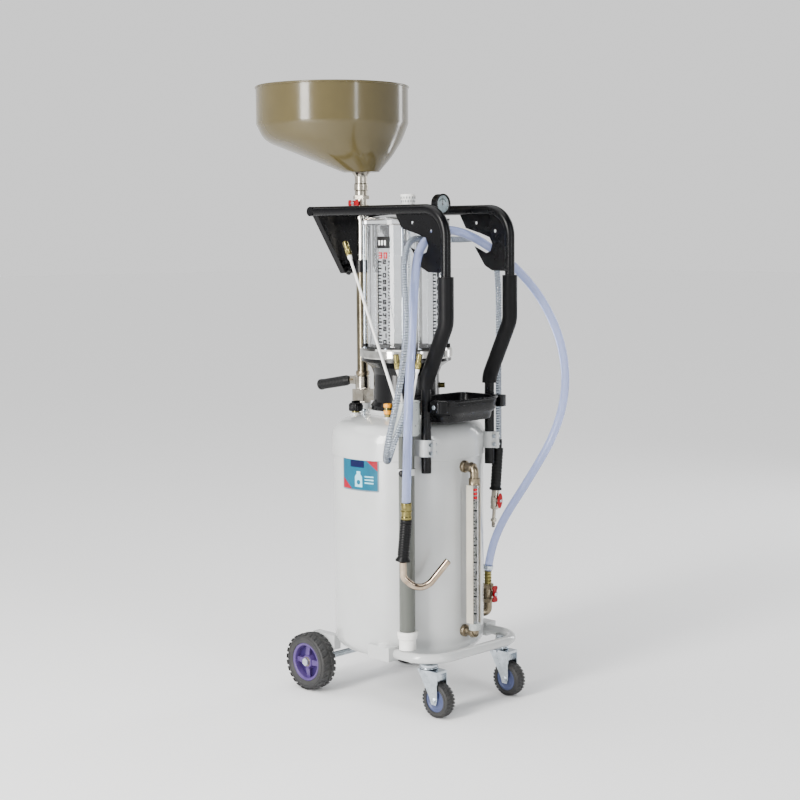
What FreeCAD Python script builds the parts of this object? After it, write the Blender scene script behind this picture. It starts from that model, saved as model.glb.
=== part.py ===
import FreeCAD, Part
import math
import os

# Wheeled waste-oil drainer, millimetres, +Z up, floor at Z = 0.
# The casters are at the front (-Y) and the big wheels at the rear (+Y).
# Every size below is measured from the tank's axis; save() moves the part so
# that its origin is under the middle of its outline.

V = FreeCAD.Vector
UP = V(0, 0, 1)

# ---- driving dimensions -------------------------------------------------------
TANK_R = 196.0            # shell, outside
HEAD_R = 199.0            # upper head, lapped over the shell
TANK_WALL = 2.5
TANK_BOTTOM = 107.0
LAP_Z = 636.0             # lower edge of the upper head
TANK_TOP = 746.0
CROWN_TOP, KNUCKLE_TOP = 600.0, 45.0
CROWN_LOW, KNUCKLE_LOW = 700.0, 35.0

FRAME_Z = 150.0           # centreline of the bent base tube
FRAME_X, FRAME_Y, FRAME_BEND = 175.0, -243.0, 75.0
TUBE_R, TUBE_BORE = 12.5, 10.5   # all 25 mm steel tube

CASTER_X, CASTER_Y = 134.0, -199.0
CASTER_TRAIL, CASTER_R, CASTER_WIDTH = 33.0, 45.0, 30.0
AXLE_Y, WHEEL_R, WHEEL_WIDTH = 187.0, 76.0, 46.0
WHEEL_X = 183.0           # middle of a rear wheel
AXLE_R = 8.0
RUNNING = 0.05            # radial clearance of every shaft in its bore

HANDLE_X, HANDLE_LOW_Y, HANDLE_HIGH_Y = 118.0, -178.0, -247.0
HANDLE_FOOT, HANDLE_TOP = 608.0, 1260.0
BEND_LOW, BEND_HIGH = 835.0, 980.0
S_BEND_R, TOP_BEND_R = 60.0, 68.0
CROSSBAR_Y = 229.0
GRIP_R, GRIP_FOOT, GRIP_HEAD = 19.0, 818.0, 1095.0
SHEET = 3.0               # hook plates and rear panel

BOWL_Y, BOWL_R, BOWL_WALL = 6.0, 100.0, 4.0
BOWL_FOOT, BOWL_HEAD = 908.0, 1223.0
BOSS_TOP = 748.0          # flat pad that the pedestal stands on

POST_Y = 170.0
MAST_R, MAST_BORE = 12.5, 10.5
SLEEVE_R = 15.0
SLEEVE_FOOT, SLEEVE_HEAD = 791.0, 1130.0
FUNNEL_OFFSET, FUNNEL_R, FUNNEL_WALL = 109.0, 206.0, 1.6
FUNNEL_FOOT, FUNNEL_SHOULDER, FUNNEL_RIM = 1363.0, 1494.0, 1593.0
THROAT_R = 48.0
FUNNEL_FLOOR = [(1402.0, 120.0, 44.0), (1438.0, 183.0, 107.0)]   # (height, radius, offset)

SILENCER_X, SILENCER_Y = 7.0, 3.0
PROBE_X, PROBE_Y = -163.0, -153.0   # axis of the probe store
GAUGE_Y = -232.0                    # axis of the level gauge
OUTLET_X, OUTLET_Y, OUTLET_Z = 188.0, -110.0, 192.0   # elbow of the discharge valve
OUTLET_STEM, OUTLET_BARB = 52.0, 113.0   # the valve's handle and hose end, above its elbow
TRAY_RIM = 790.0

DISCHARGE_D = 22.0
SUCTION_D = 15.0

# Free hoses: hand-set centreline points.
DISCHARGE_ROUTE = [
    (188, -110, 305), (191, -116, 356), (208, -142, 440), (252, -204, 560), (286, -262, 680),
    (294, -292, 800), (272, -292, 922), (228, -262, 1034), (176, -214, 1116), (118, -170, 1171),
    (60, -150, 1200), (0, -145, 1211), (-62, -151, 1201), (-118, -167, 1174), (-148, -177, 1138),
    (-168, -189, 1078), (-186, -199, 990), (-202, -206, 885), (-210, -207, 780), (-208, -201, 680),
    (-203, -193, 605), (-198, -186, 545),
]
SUCTION_ROUTE = [
    (-71, -83, 845), (-109, -117, 852), (-150, -151, 846), (-183, -179, 820), (-199, -187, 776),
    (-206, -175, 736), (-213, -162, 696), (-230, -164, 664), (-257, -181, 650), (-284, -202, 664),
    (-294, -219, 700), (-288, -231, 757), (-268, -235, 835), (-242, -229, 930), (-222, -214, 1012),
    (-208, -193, 1080),
    (-190, -174, 1136), (-157, -156, 1177), (-118, -145, 1190), (-60, -124, 1184), (0, -117, 1187),
    (60, -124, 1184), (118, -143, 1188), (150, -159, 1163), (157, -173, 1104), (154, -179, 970),
    (153, -178, 820), (153, -179, 668),
]

CENTRE_Y = (POST_Y + FUNNEL_OFFSET + FUNNEL_R + CASTER_Y - CASTER_TRAIL - CASTER_R) / 2


# ---- helpers --------------------------------------------------------------------
def save(name, *solids):
    """Write one node: a single solid, or a group of separate ones."""
    shape = solids[0] if len(solids) == 1 else Part.makeCompound(list(solids))
    moved = shape.copy()
    moved.translate(V(0, -CENTRE_Y, 0))
    moved.exportStep("parts/" + name + ".step")


def cylinder(radius, low, high, x=0.0, y=0.0):
    return Part.makeCylinder(radius, high - low, V(x, y, low))


def ring(outer, inner, low, high, x=0.0, y=0.0):
    return cylinder(outer, low, high, x, y).cut(cylinder(inner, low - 1, high + 1, x, y))


def rod(start, end, radius):
    start, end = V(*start), V(*end)
    return Part.makeCylinder(radius, (end - start).Length, start, end - start)


def block(x, y, z):
    """A box from three (low, high) pairs."""
    return Part.makeBox(x[1] - x[0], y[1] - y[0], z[1] - z[0], V(x[0], y[0], z[0]))


def rounded_block(x, y, z, radius):
    """A box with its four upright edges rounded."""
    solid = block(x, y, z)
    upright = [edge for edge in solid.Edges
               if abs(edge.Vertexes[0].Z - edge.Vertexes[-1].Z) > 0.5 * (z[1] - z[0])]
    return solid.makeFillet(radius, upright)


def lathe(profile, x=0.0, y=0.0):
    """Turn a closed (radius, z) outline about a vertical axis."""
    points = [V(r, 0, z) for r, z in profile]
    face = Part.Face(Part.makePolygon(points + points[:1]))
    solid = face.revolve(V(0, 0, 0), UP, 360)
    solid.translate(V(x, y, 0))
    return solid


def turned_on_x(profile, centre):
    """Turn a closed (radius, offset) outline about an axis along X."""
    solid = lathe(profile)
    solid.rotate(V(0, 0, 0), V(0, 1, 0), 90)
    solid.translate(V(*centre))
    return solid


def fuse(solids):
    return solids[0].multiFuse(solids[1:]).removeSplitter()


def prism_on_x(outline, middle, thickness):
    """Extrude a (y, z) outline along X."""
    points = [V(middle - thickness / 2, y, z) for y, z in outline]
    return Part.Face(Part.makePolygon(points + points[:1])).extrude(V(thickness, 0, 0))


def hexagon(across, low, high, x=0.0, y=0.0):
    corner = across / math.sqrt(3)
    points = [V(x + corner * math.cos(k * math.pi / 3), y + corner * math.sin(k * math.pi / 3), low)
              for k in range(6)]
    return Part.Face(Part.makePolygon(points + points[:1])).extrude(V(0, 0, high - low))


def nut_on_x(across, inner_x, outer_x, y, z):
    """A hexagon nut with its axis along X, between two X values."""
    nut = hexagon(across, 0, outer_x - inner_x)
    nut.rotate(V(0, 0, 0), V(0, 1, 0), 90)
    nut.translate(V(inner_x, y, z))
    return nut


def route_wire(route, radii=None):
    """Straight runs joined by tangent arcs, with the radius of each arc.

    Without given radii each arc is as large as its two runs allow.
    """
    points = [V(*p) for p in route]
    edges, used = [], []
    last = points[0]
    for k in range(1, len(points) - 1):
        into = (points[k] - points[k - 1]).normalize()
        away = (points[k + 1] - points[k]).normalize()
        half = into.getAngle(away) / 2
        shorter = min((points[k] - points[k - 1]).Length, (points[k + 1] - points[k]).Length)
        radius = radii[k - 1] if radii else 0.45 * shorter / math.tan(half)
        back = radius * math.tan(half)
        start, end = points[k] - into * back, points[k] + away * back
        bulge = (away - into).normalize() * (radius / math.cos(half) - radius)
        edges.append(Part.LineSegment(last, start).toShape())
        edges.append(Part.Arc(start, points[k] + bulge, end).toShape())
        used.append(radius)
        last = end
    edges.append(Part.LineSegment(last, points[-1]).toShape())
    return Part.Wire(edges), used


def swept(route, radius, radii=None):
    """A round bar along a route."""
    wire, used = route_wire(route, radii)
    start = V(*route[0])
    section = Part.Wire(Part.makeCircle(radius, start, V(*route[1]) - start))
    solid = wire.makePipeShell([section], True, False)
    return solid, wire.Length, used


def hose(name, route, diameter):
    """A free hose, with its length, tightest bend and volume check printed."""
    solid, length, used = swept(route, diameter / 2)
    ideal = math.pi * diameter ** 2 / 4 * length
    print(name, "length", round(length), "volume ratio", round(solid.Volume / ideal, 4),
          "radii", [round(r) for r in used])
    save(name, solid)


# ---- tank ---------------------------------------------------------------------
def head_arcs(side_r, knuckle, crown, apex, sense):
    """Crown and knuckle of a dished head from its apex to its side, as edges."""
    reach = side_r - knuckle
    rise = math.sqrt((crown - knuckle) ** 2 - reach ** 2)
    crown_z = apex - sense * crown
    knuckle_z = crown_z + sense * rise
    tilt = math.asin(reach / (crown - knuckle))

    def on_crown(angle):
        return V(crown * math.sin(angle), 0, crown_z + sense * crown * math.cos(angle))

    def on_knuckle(angle):
        return V(reach + knuckle * math.sin(angle), 0, knuckle_z + sense * knuckle * math.cos(angle))

    middle = (tilt + math.pi / 2) / 2
    side = V(side_r, 0, knuckle_z)
    arcs = [Part.Arc(V(0, 0, apex), on_crown(tilt / 2), on_crown(tilt)).toShape(),
            Part.Arc(on_crown(tilt), on_knuckle(middle), side).toShape()]
    return arcs, side


def tank_body(inset, lapped):
    """The tank's volume, inset from its outside by a wall."""
    upper_r = (HEAD_R if lapped else TANK_R) - inset
    top, top_side = head_arcs(upper_r, KNUCKLE_TOP - inset, CROWN_TOP - inset, TANK_TOP - inset, 1)
    low, low_side = head_arcs(TANK_R - inset, KNUCKLE_LOW - inset, CROWN_LOW - inset,
                              TANK_BOTTOM + inset, -1)
    corners = [low_side, V(TANK_R - inset, 0, LAP_Z), V(upper_r, 0, LAP_Z), top_side]
    sides = [Part.LineSegment(a, b).toShape() for a, b in zip(corners, corners[1:])
             if (b - a).Length > 0.01]
    axis = Part.LineSegment(V(0, 0, TANK_BOTTOM + inset), V(0, 0, TANK_TOP - inset)).toShape()
    outline = Part.Wire(Part.__sortEdges__(low + sides + top + [axis]))
    return Part.Face(outline).revolve(V(0, 0, 0), UP, 360)


TANK_SOLID = tank_body(0.0, True)
CAP_X, CAP_Y = -76.0, 118.0
RELIEF_X, RELIEF_Y = -110.0, -35.0


def tank():
    bosses = [cylinder(100, 730, BOSS_TOP, 0, BOWL_Y), cylinder(22, 715, 752, 0, POST_Y),
              cylinder(14, 715, 735, CAP_X, CAP_Y), cylinder(11, 715, 737, RELIEF_X, RELIEF_Y)]
    lug = block((-88, -52), (-96, -84), (102, 124))
    solid = fuse([TANK_SOLID, lug] + bosses).cut(tank_body(TANK_WALL, False))
    holes = [cylinder(30, 730, 760, 0, BOWL_Y), cylinder(9, 715, 760, 0, POST_Y),
             cylinder(8, 715, 740, CAP_X, CAP_Y)]
    for hole in holes:
        solid = solid.cut(hole)
    save("tank", solid)


# ---- base frame and wheels --------------------------------------------------------
def base_frame():
    route = [(-FRAME_X, -118, FRAME_Z), (-FRAME_X, FRAME_Y, FRAME_Z),
             (FRAME_X, FRAME_Y, FRAME_Z), (FRAME_X, -118, FRAME_Z)]
    bends = [FRAME_BEND, FRAME_BEND]
    outer = swept(route, TUBE_R, bends)[0]
    plate_top = 146.0
    pieces = [outer]
    for side in (-1, 1):
        pieces.append(block(sorted((side * 165, side * 202)), (-125, -49), (133, 168)))
        corners = [(FRAME_X, -150), (FRAME_X, FRAME_Y + 60), (FRAME_X - 62, FRAME_Y),
                   (78, FRAME_Y), (78, FRAME_Y + 12)]
        points = [V(side * x, y, plate_top - 5) for x, y in corners]
        pieces.append(Part.Face(Part.makePolygon(points + points[:1])).extrude(V(0, 0, 5)))
    solid = fuse(pieces).cut(swept(route, TUBE_BORE, bends)[0])
    for side in (-1, 1):
        solid = solid.cut(cylinder(6, 120, 160, side * CASTER_X, CASTER_Y))
    save("base_frame", solid.cut(TANK_SOLID))


def axle_brackets():
    solids = []
    for side in (-1, 1):
        outline = [(122, 150), (204, 150), (204, 58), (168, 58), (168, 96), (122, 112)]
        bracket = prism_on_x(outline, side * 147, 22)
        bore = rod((-220, AXLE_Y, WHEEL_R), (220, AXLE_Y, WHEEL_R), AXLE_R)
        solids.append(bracket.cut(TANK_SOLID).cut(bore))
    save("axle_brackets", *solids)


def rear_axle():
    save("rear_axle", rod((-199.5, AXLE_Y, WHEEL_R), (199.5, AXLE_Y, WHEEL_R), AXLE_R))


def rear_wheel(side, word):
    centre = (side * WHEEL_X, AXLE_Y, WHEEL_R)
    half = WHEEL_WIDTH / 2
    seat, shoulder = 50.0, WHEEL_R - 5
    tyre = turned_on_x([(seat, -half + 3), (shoulder - 6, -half), (shoulder, -half + 4),
                        (WHEEL_R, -half + 9), (WHEEL_R, half - 9), (shoulder, half - 4),
                        (shoulder - 6, half), (seat, half - 3)], centre)
    bore, boss, boss_half, web = AXLE_R + RUNNING, 19.0, 15.5, 5.0
    hub = turned_on_x([(bore, -boss_half), (boss, -boss_half), (boss, -web), (seat - 7, -web),
                       (seat - 4, -half + 5), (seat, -half + 5), (seat, half - 5), (seat - 4, half - 5),
                       (seat - 7, web), (boss, web), (boss, boss_half), (bore, boss_half)], centre)
    for k in range(4):
        angle = math.pi / 4 + k * math.pi / 2
        y = AXLE_Y + 31 * math.cos(angle)
        z = WHEEL_R + 31 * math.sin(angle)
        hub = hub.cut(rod((side * (WHEEL_X - 20), y, z), (side * (WHEEL_X + 20), y, z), 9.5))
    save("rear_tyre_" + word, tyre)
    save("rear_hub_" + word, hub)


STEM_R, RACE_TOP, FORK_TOP, FORK_UNDER = 6.0, 141.0, 119.0, 113.0


def caster_stems():
    solids = []
    for side in (-1, 1):
        x = side * CASTER_X
        stem = fuse([cylinder(STEM_R, FORK_UNDER - 6, RACE_TOP, x, CASTER_Y),
                     lathe([(0, 120), (17, 120), (23, 125), (23, 131), (15, 137), (12, RACE_TOP),
                            (0, RACE_TOP)], x, CASTER_Y),
                     cylinder(10, FORK_UNDER - 8, FORK_UNDER - 0.3, x, CASTER_Y)])
        solids.append(stem)
    save("caster_stems", *solids)


def caster(side, word):
    x, axle_y, axle_z = side * CASTER_X, CASTER_Y - CASTER_TRAIL, CASTER_R
    crown = cylinder(24, FORK_UNDER, FORK_TOP, x, CASTER_Y)
    crown = crown.fuse(block((x - 19, x + 19), (CASTER_Y - 44, CASTER_Y), (FORK_UNDER, FORK_TOP)))
    crown = crown.cut(cylinder(STEM_R + RUNNING, 100, 130, x, CASTER_Y))
    legs = []
    for cheek in (-1, 1):
        outline = [(CASTER_Y + 22, FORK_TOP), (CASTER_Y - 44, FORK_TOP), (axle_y - 12, axle_z + 3),
                   (axle_y - 8, axle_z - 10), (axle_y + 8, axle_z - 10), (axle_y + 13, axle_z + 6)]
        legs.append(prism_on_x(outline, x + cheek * 18, 2.6))
    bolt = [rod((x - 22, axle_y, axle_z), (x + 22, axle_y, axle_z), 4.0)]
    save("caster_fork_" + word, fuse([crown] + legs + bolt))
    half, centre = CASTER_WIDTH / 2, (x, axle_y, axle_z)
    seat = 28.0
    tyre = turned_on_x([(seat, -half + 2), (CASTER_R - 7, -half), (CASTER_R - 1, -half + 6),
                        (CASTER_R, -half + 9), (CASTER_R, half - 9), (CASTER_R - 1, half - 6),
                        (CASTER_R - 7, half), (seat, half - 2)], centre)
    bore = 4.0 + RUNNING
    boss = 11.0
    hub = turned_on_x([(bore, -half), (boss, -half), (boss + 1, -half + 4), (seat - 3, -half + 5),
                       (seat, -half + 3), (seat, half - 3), (seat - 3, half - 5), (boss + 1, half - 4),
                       (boss, half), (bore, half)], centre)
    save("caster_tyre_" + word, tyre)
    save("caster_hub_" + word, hub)


# ---- handles ----------------------------------------------------------------------
def handle_route(side):
    x = side * HANDLE_X
    return [(x, HANDLE_LOW_Y, HANDLE_FOOT), (x, HANDLE_LOW_Y, BEND_LOW), (x, HANDLE_HIGH_Y, BEND_HIGH),
            (x, HANDLE_HIGH_Y, HANDLE_TOP), (x, CROSSBAR_Y, HANDLE_TOP)]


HANDLE_BENDS = [S_BEND_R, S_BEND_R, TOP_BEND_R]
BAR_END = HANDLE_X + TUBE_R


def crossbar_solid(radius):
    return rod((-BAR_END, CROSSBAR_Y, HANDLE_TOP), (BAR_END, CROSSBAR_Y, HANDLE_TOP), radius)


def handles():
    for side, word in ((-1, "left"), (1, "right")):
        route = handle_route(side)
        tube = swept(route, TUBE_R, HANDLE_BENDS)[0].cut(swept(route, TUBE_BORE, HANDLE_BENDS)[0])
        save("handle_" + word, tube.cut(crossbar_solid(TUBE_R)))
    bar = crossbar_solid(TUBE_R).cut(rod((-BAR_END + 2, CROSSBAR_Y, HANDLE_TOP),
                                         (BAR_END - 2, CROSSBAR_Y, HANDLE_TOP), TUBE_BORE))
    save("handle_crossbar", bar)


def hand_grips():
    solids = []
    for side in (-1, 1):
        x = side * HANDLE_X
        route = [(x, HANDLE_LOW_Y, GRIP_FOOT), (x, HANDLE_LOW_Y, BEND_LOW),
                 (x, HANDLE_HIGH_Y, BEND_HIGH), (x, HANDLE_HIGH_Y, GRIP_HEAD)]
        bends = HANDLE_BENDS[:2]
        solids.append(swept(route, GRIP_R, bends)[0].cut(swept(route, TUBE_R, bends)[0]))
    save("hand_grips", *solids)


CLAMP_LOW, CLAMP_HIGH, BAND_LOW, BAND_HIGH = 650.0, 692.0, 606.0, 622.0
STORE_R, STORE_BORE = 20.0, 17.0


def tube_clamps():
    """White painted clamps: one to each handle foot, and the band of the probe store."""
    solids = []
    for side in (-1, 1):
        x = side * HANDLE_X
        collar = cylinder(17, CLAMP_LOW, CLAMP_HIGH, x, HANDLE_LOW_Y)
        ear = block((x - 5, x + 5), (HANDLE_LOW_Y - 29, HANDLE_LOW_Y - 14), (CLAMP_LOW, CLAMP_HIGH))
        foot = block(sorted((x - side * 17, x + side * 17)), (HANDLE_LOW_Y, HANDLE_LOW_Y + 34),
                     (CLAMP_LOW, CLAMP_HIGH))
        solid = fuse([collar, ear, foot]).cut(cylinder(TUBE_R, 600, 720, x, HANDLE_LOW_Y))
        solids.append(solid.cut(TANK_SOLID))
    toward = V(-PROBE_X, -PROBE_Y, 0).normalize()
    link_end = V(PROBE_X, PROBE_Y, (BAND_LOW + BAND_HIGH) / 2) + toward * 34
    link = rod((PROBE_X, PROBE_Y, link_end.z), tuple(link_end), 7)
    band = cylinder(STORE_R + 2.5, BAND_LOW, BAND_HIGH, PROBE_X, PROBE_Y).fuse(link)
    band = band.cut(cylinder(STORE_R, 590, 640, PROBE_X, PROBE_Y)).cut(TANK_SOLID)
    save("tube_clamps", *solids, band)


def hook_plates():
    """Gusset in each top corner with a sloping slot that the hoses hang in."""
    outline = [(HANDLE_HIGH_Y, 1104), (HANDLE_HIGH_Y, HANDLE_TOP - TOP_BEND_R),
               (HANDLE_HIGH_Y + 20, HANDLE_TOP - 20), (HANDLE_HIGH_Y + TOP_BEND_R, HANDLE_TOP),
               (-70, HANDLE_TOP), (-98, 1214), (-150, 1200), (-180, 1190), (-189, 1173),
               (-183, 1155), (-168, 1150), (-128, 1167), (-164, 1118), (-188, 1106)]
    solids = []
    for side in (-1, 1):
        plate = prism_on_x(outline, side * HANDLE_X, SHEET)
        plate = plate.cut(swept(handle_route(side), TUBE_R, HANDLE_BENDS)[0])
        for y, z in ((-134, 1227), (-198, 1206)):
            plate = plate.cut(rod((side * 100, y, z), (side * 130, y, z), 4.5))
        solids.append(plate)
    save("hook_plates", *solids)


PANEL_FOOT, PANEL_TILT = 1096.0, 5.8
CLAMP_Z, ARM_END, KNOB_Y = 1111.0, 209.5, 218.5


def tilted(shape):
    """Lean a piece of the rear panel forward about the crossbar."""
    shape.rotate(V(0, CROSSBAR_Y, HANDLE_TOP), V(1, 0, 0), -PANEL_TILT)
    return shape


def rear_panel():
    top, half_top, half_foot, flange = HANDLE_TOP - 4, 126.0, 38.0, 18.0

    def layer(y, depth, inset):
        corners = [(-half_top + inset, top), (half_top - inset, top), (half_foot - inset, PANEL_FOOT),
                   (-half_foot + inset, PANEL_FOOT)]
        points = [V(x, y, z) for x, z in corners]
        return Part.Face(Part.makePolygon(points + points[:1])).extrude(V(0, depth, 0))

    shell = layer(CROSSBAR_Y - flange, flange, 0).cut(layer(CROSSBAR_Y - flange - 1, flange - 1, 2.2))
    shell = tilted(shell).cut(crossbar_solid(TUBE_R))
    for side in (-1, 1):
        shell = shell.cut(swept(handle_route(side), TUBE_R, HANDLE_BENDS)[0])
    save("rear_panel", shell.cut(rod((0, 150, CLAMP_Z), (0, 300, CLAMP_Z), 5)))


def post_clamp():
    """Collar on the sleeve's mouth, its arm to the rear panel and the screw bore."""
    collar = cylinder(21, CLAMP_Z - 12, CLAMP_Z + 21, 0, POST_Y)
    arm = block((-11, 11), (POST_Y + 10, ARM_END), (CLAMP_Z - 11, CLAMP_Z + 11))
    solid = fuse([collar, arm]).cut(cylinder(SLEEVE_R, CLAMP_Z - 20, SLEEVE_HEAD, 0, POST_Y))
    solid = solid.cut(cylinder(MAST_R + 0.4, CLAMP_Z, CLAMP_Z + 40, 0, POST_Y))
    screw = rod((0, POST_Y + SLEEVE_R + 4, CLAMP_Z), (0, KNOB_Y, CLAMP_Z), 4 + RUNNING)
    save("post_clamp", solid.cut(screw))


def star_knob():
    body = cylinder(13, 0, 16)
    for k in range(5):
        angle = k * 2 * math.pi / 5
        body = body.fuse(cylinder(7, 0, 16, 14 * math.cos(angle), 14 * math.sin(angle)))
    body.rotate(V(0, 0, 0), V(1, 0, 0), -90)
    body.translate(V(0, KNOB_Y, CLAMP_Z))
    screw = rod((0, POST_Y + SLEEVE_R + 5, CLAMP_Z), (0, KNOB_Y + 2, CLAMP_Z), 4)
    save("star_knob", fuse([body, screw]))


# ---- post, mast and funnel -------------------------------------------------------
LEVER_Y, LEVER_Z = 203.0, 812.0


def post_base():
    """Valve body that carries the post on the tank, with the lug of its lever."""
    body = fuse([block((-20, 20), (150, 190), (757, 788)), cylinder(17, 752, SLEEVE_FOOT, 0, POST_Y)])
    body = body.cut(cylinder(9, 740, 800, 0, POST_Y))
    collar = ring(20, SLEEVE_R, SLEEVE_FOOT, 822, 0, POST_Y)
    lugs = [block(sorted((s * 6.5, s * 10)), (186, LEVER_Y + 7), (800, 822)) for s in (-1, 1)]
    collar = fuse([collar] + lugs).cut(cylinder(SLEEVE_R, 780, 830, 0, POST_Y))
    bore = rod((-20, LEVER_Y, LEVER_Z), (20, LEVER_Y, LEVER_Z), 3 + RUNNING)
    save("post_base", fuse([body, collar.cut(bore)]))


def valve_lever():
    """Lever with a ribbed rubber grip, on its own pin."""
    eye = rod((-6.2, LEVER_Y, LEVER_Z), (6.2, LEVER_Y, LEVER_Z), 7)
    pin = rod((-13, LEVER_Y, LEVER_Z), (13, LEVER_Y, LEVER_Z), 3)
    tip = (0, 338, 786)
    bar = rod((0, LEVER_Y, LEVER_Z), (0, 230, 807), 5)
    grip = rod((0, 222, 808), tip, 13.5)
    save("valve_lever", fuse([eye, pin, bar, grip]))


def post_sleeve():
    save("post_sleeve", ring(SLEEVE_R, MAST_R + RUNNING, SLEEVE_FOOT, SLEEVE_HEAD, 0, POST_Y))


def mast_tube():
    tube = ring(MAST_R, MAST_BORE, 860, 1268, 0, POST_Y)
    flange = ring(18, MAST_BORE, 1240, 1247, 0, POST_Y)
    save("mast_tube", fuse([tube, flange]))


UNION_LOW, UNION_HIGH = 1268.0, 1302.0
TAP_Z, TAP_FACE, TAP_STEM_R = 1282.0, -30.0, 3.0


def tap_axis(start_x, end_x, radius):
    """A bar along the axis of the funnel's tap."""
    return rod((start_x, POST_Y, TAP_Z), (end_x, POST_Y, TAP_Z), radius)


def funnel_valve():
    """Ball valve between the mast and the funnel's neck."""
    lower_nut = hexagon(36, UNION_LOW, UNION_LOW + 9, 0, POST_Y)
    upper_nut = hexagon(38, UNION_HIGH - 10, UNION_HIGH - 0.3, 0, POST_Y)
    body = cylinder(16, UNION_LOW + 4, UNION_HIGH - 4, 0, POST_Y)
    solid = fuse([lower_nut, upper_nut, body, tap_axis(0, TAP_FACE + 8, 7)])
    solid = solid.cut(cylinder(MAST_BORE, UNION_LOW - 8, UNION_HIGH + 8, 0, POST_Y))
    save("funnel_valve", solid.cut(tap_axis(-12, TAP_FACE, TAP_STEM_R + RUNNING)))


def funnel_valve_handle():
    half_wing = 19.0
    wing = block((TAP_FACE, TAP_FACE + 4), (POST_Y - half_wing, POST_Y + half_wing), (TAP_Z - 5, TAP_Z + 5))
    stem = tap_axis(-12.5, TAP_FACE + 1, TAP_STEM_R)
    save("funnel_valve_handle", fuse([stem, wing, tap_axis(TAP_FACE, TAP_FACE + 6, 7)]))


def funnel():
    """Offset funnel: round band over a sloping floor, with a rolled rim, and its neck."""
    rim_y = POST_Y + FUNNEL_OFFSET
    bead = 3.0
    band_r = FUNNEL_R - 2

    def floor(inset, rise, shoulder):
        rings = [(FUNNEL_FOOT, THROAT_R, 0)] + FUNNEL_FLOOR + [(FUNNEL_SHOULDER, band_r, FUNNEL_OFFSET)]
        steps = [Part.Wire(Part.makeCircle(radius - inset, V(0, POST_Y + offset, z + rise), UP))
                 for z, radius, offset in rings[:-1]]
        steps.append(Part.Wire(Part.makeCircle(band_r - inset, V(0, rim_y, shoulder), UP)))
        return fuse([Part.makeLoft([low, high], True, True) for low, high in zip(steps, steps[1:])])

    outside = fuse([floor(0, 0, FUNNEL_SHOULDER),
                    cylinder(band_r, FUNNEL_SHOULDER, FUNNEL_RIM - bead, 0, rim_y)])
    inside = fuse([floor(FUNNEL_WALL, FUNNEL_WALL, FUNNEL_SHOULDER + 0.4),
                   cylinder(band_r - FUNNEL_WALL, FUNNEL_SHOULDER + 0.4, FUNNEL_RIM + 5, 0, rim_y)])
    rim = Part.makeTorus(FUNNEL_R - bead, bead, V(0, rim_y, FUNNEL_RIM - bead))
    bowl_solid = fuse([outside.cut(inside), rim]).cut(cylinder(14, 1350, 1370, 0, POST_Y))
    save("funnel", bowl_solid, ring(17, 14, UNION_HIGH, FUNNEL_FOOT, 0, POST_Y))


# ---- measuring bowl -----------------------------------------------------------------
def bowl_pedestal():
    outer = [(58, BOSS_TOP), (93, BOSS_TOP), (93, 758), (86, 768), (85, 840), (92, 858), (112, 872),
             (117, 874), (117, 882)]
    inner = [(90, 882), (84, 866), (78, 850), (78, 764), (58, 757)]
    solid = lathe(outer + inner, 0, BOWL_Y)
    ports = [rod((-40, -38, 845), (-57, -63, 845), 11), rod((54, -38, 807), (66, -51, 807), 9)]
    return fuse([solid] + ports)


INLET_AXIS = V(-38, -34, 7).normalize()


def pedestal_ports(pedestal):
    """Hose spigot and test port screwed into the pedestal."""
    inlet_end = V(*SUCTION_ROUTE[0])
    spigot = rod(tuple(inlet_end - INLET_AXIS * 26), tuple(inlet_end), 9)
    test_port = rod((63, -48, 807), (75, -61, 807), 7)
    return [spigot.cut(pedestal), test_port.cut(pedestal)]


def bowl():
    pedestal = bowl_pedestal()
    save("bowl_pedestal", pedestal)
    save("fittings", *pedestal_ports(pedestal), *tank_fittings())
    flange = lathe([(90, 882), (117, 882), (120, 886), (120, 903), (117, BOWL_FOOT), (90, BOWL_FOOT)],
                   0, BOWL_Y)
    save("bowl_flange", flange)
    save("bowl_cylinder", ring(BOWL_R, BOWL_R - BOWL_WALL, BOWL_FOOT, BOWL_HEAD, 0, BOWL_Y))
    lid = lathe([(0, 1226), (90, 1226), (95, BOWL_HEAD), (114, BOWL_HEAD), (114, 1235), (98, 1243),
                 (40, 1250), (0, 1251)], 0, BOWL_Y)
    save("bowl_lid", lid.cut(cylinder(8, 1220, 1260, SILENCER_X, SILENCER_Y)).cut(gauge_stem()))


def silencer():
    outline = [(0, 1250), (8, 1250), (8, 1266), (15, 1268), (20, 1298), (18, 1302), (0, 1303)]
    body = lathe(outline, SILENCER_X, SILENCER_Y)
    save("silencer", body.cut(cylinder(4, 1240, 1290, SILENCER_X, SILENCER_Y)))


DIAL_X, DIAL_BACK_Y, DIAL_Z, DIAL_CASE_R = 40.0, -72.0, 1275.0, 26.0
DIAL_DEPTH, DIAL_RECESS = 20.0, 15.0   # of the case, and from its back to the dial
NEEDLE_NEAR, NEEDLE_FAR, NEEDLE_SHAFT_R = 15.4, 16.6, 1.0


def dial_axis(start, end, radius):
    """A bar along the dial's axis, by its distances in front of the case's back."""
    return rod((DIAL_X, DIAL_BACK_Y - start, DIAL_Z), (DIAL_X, DIAL_BACK_Y - end, DIAL_Z), radius)


def gauge_stem():
    return cylinder(6, BOWL_HEAD + 6, DIAL_Z - DIAL_CASE_R + 4, DIAL_X, DIAL_BACK_Y - 8)


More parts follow.
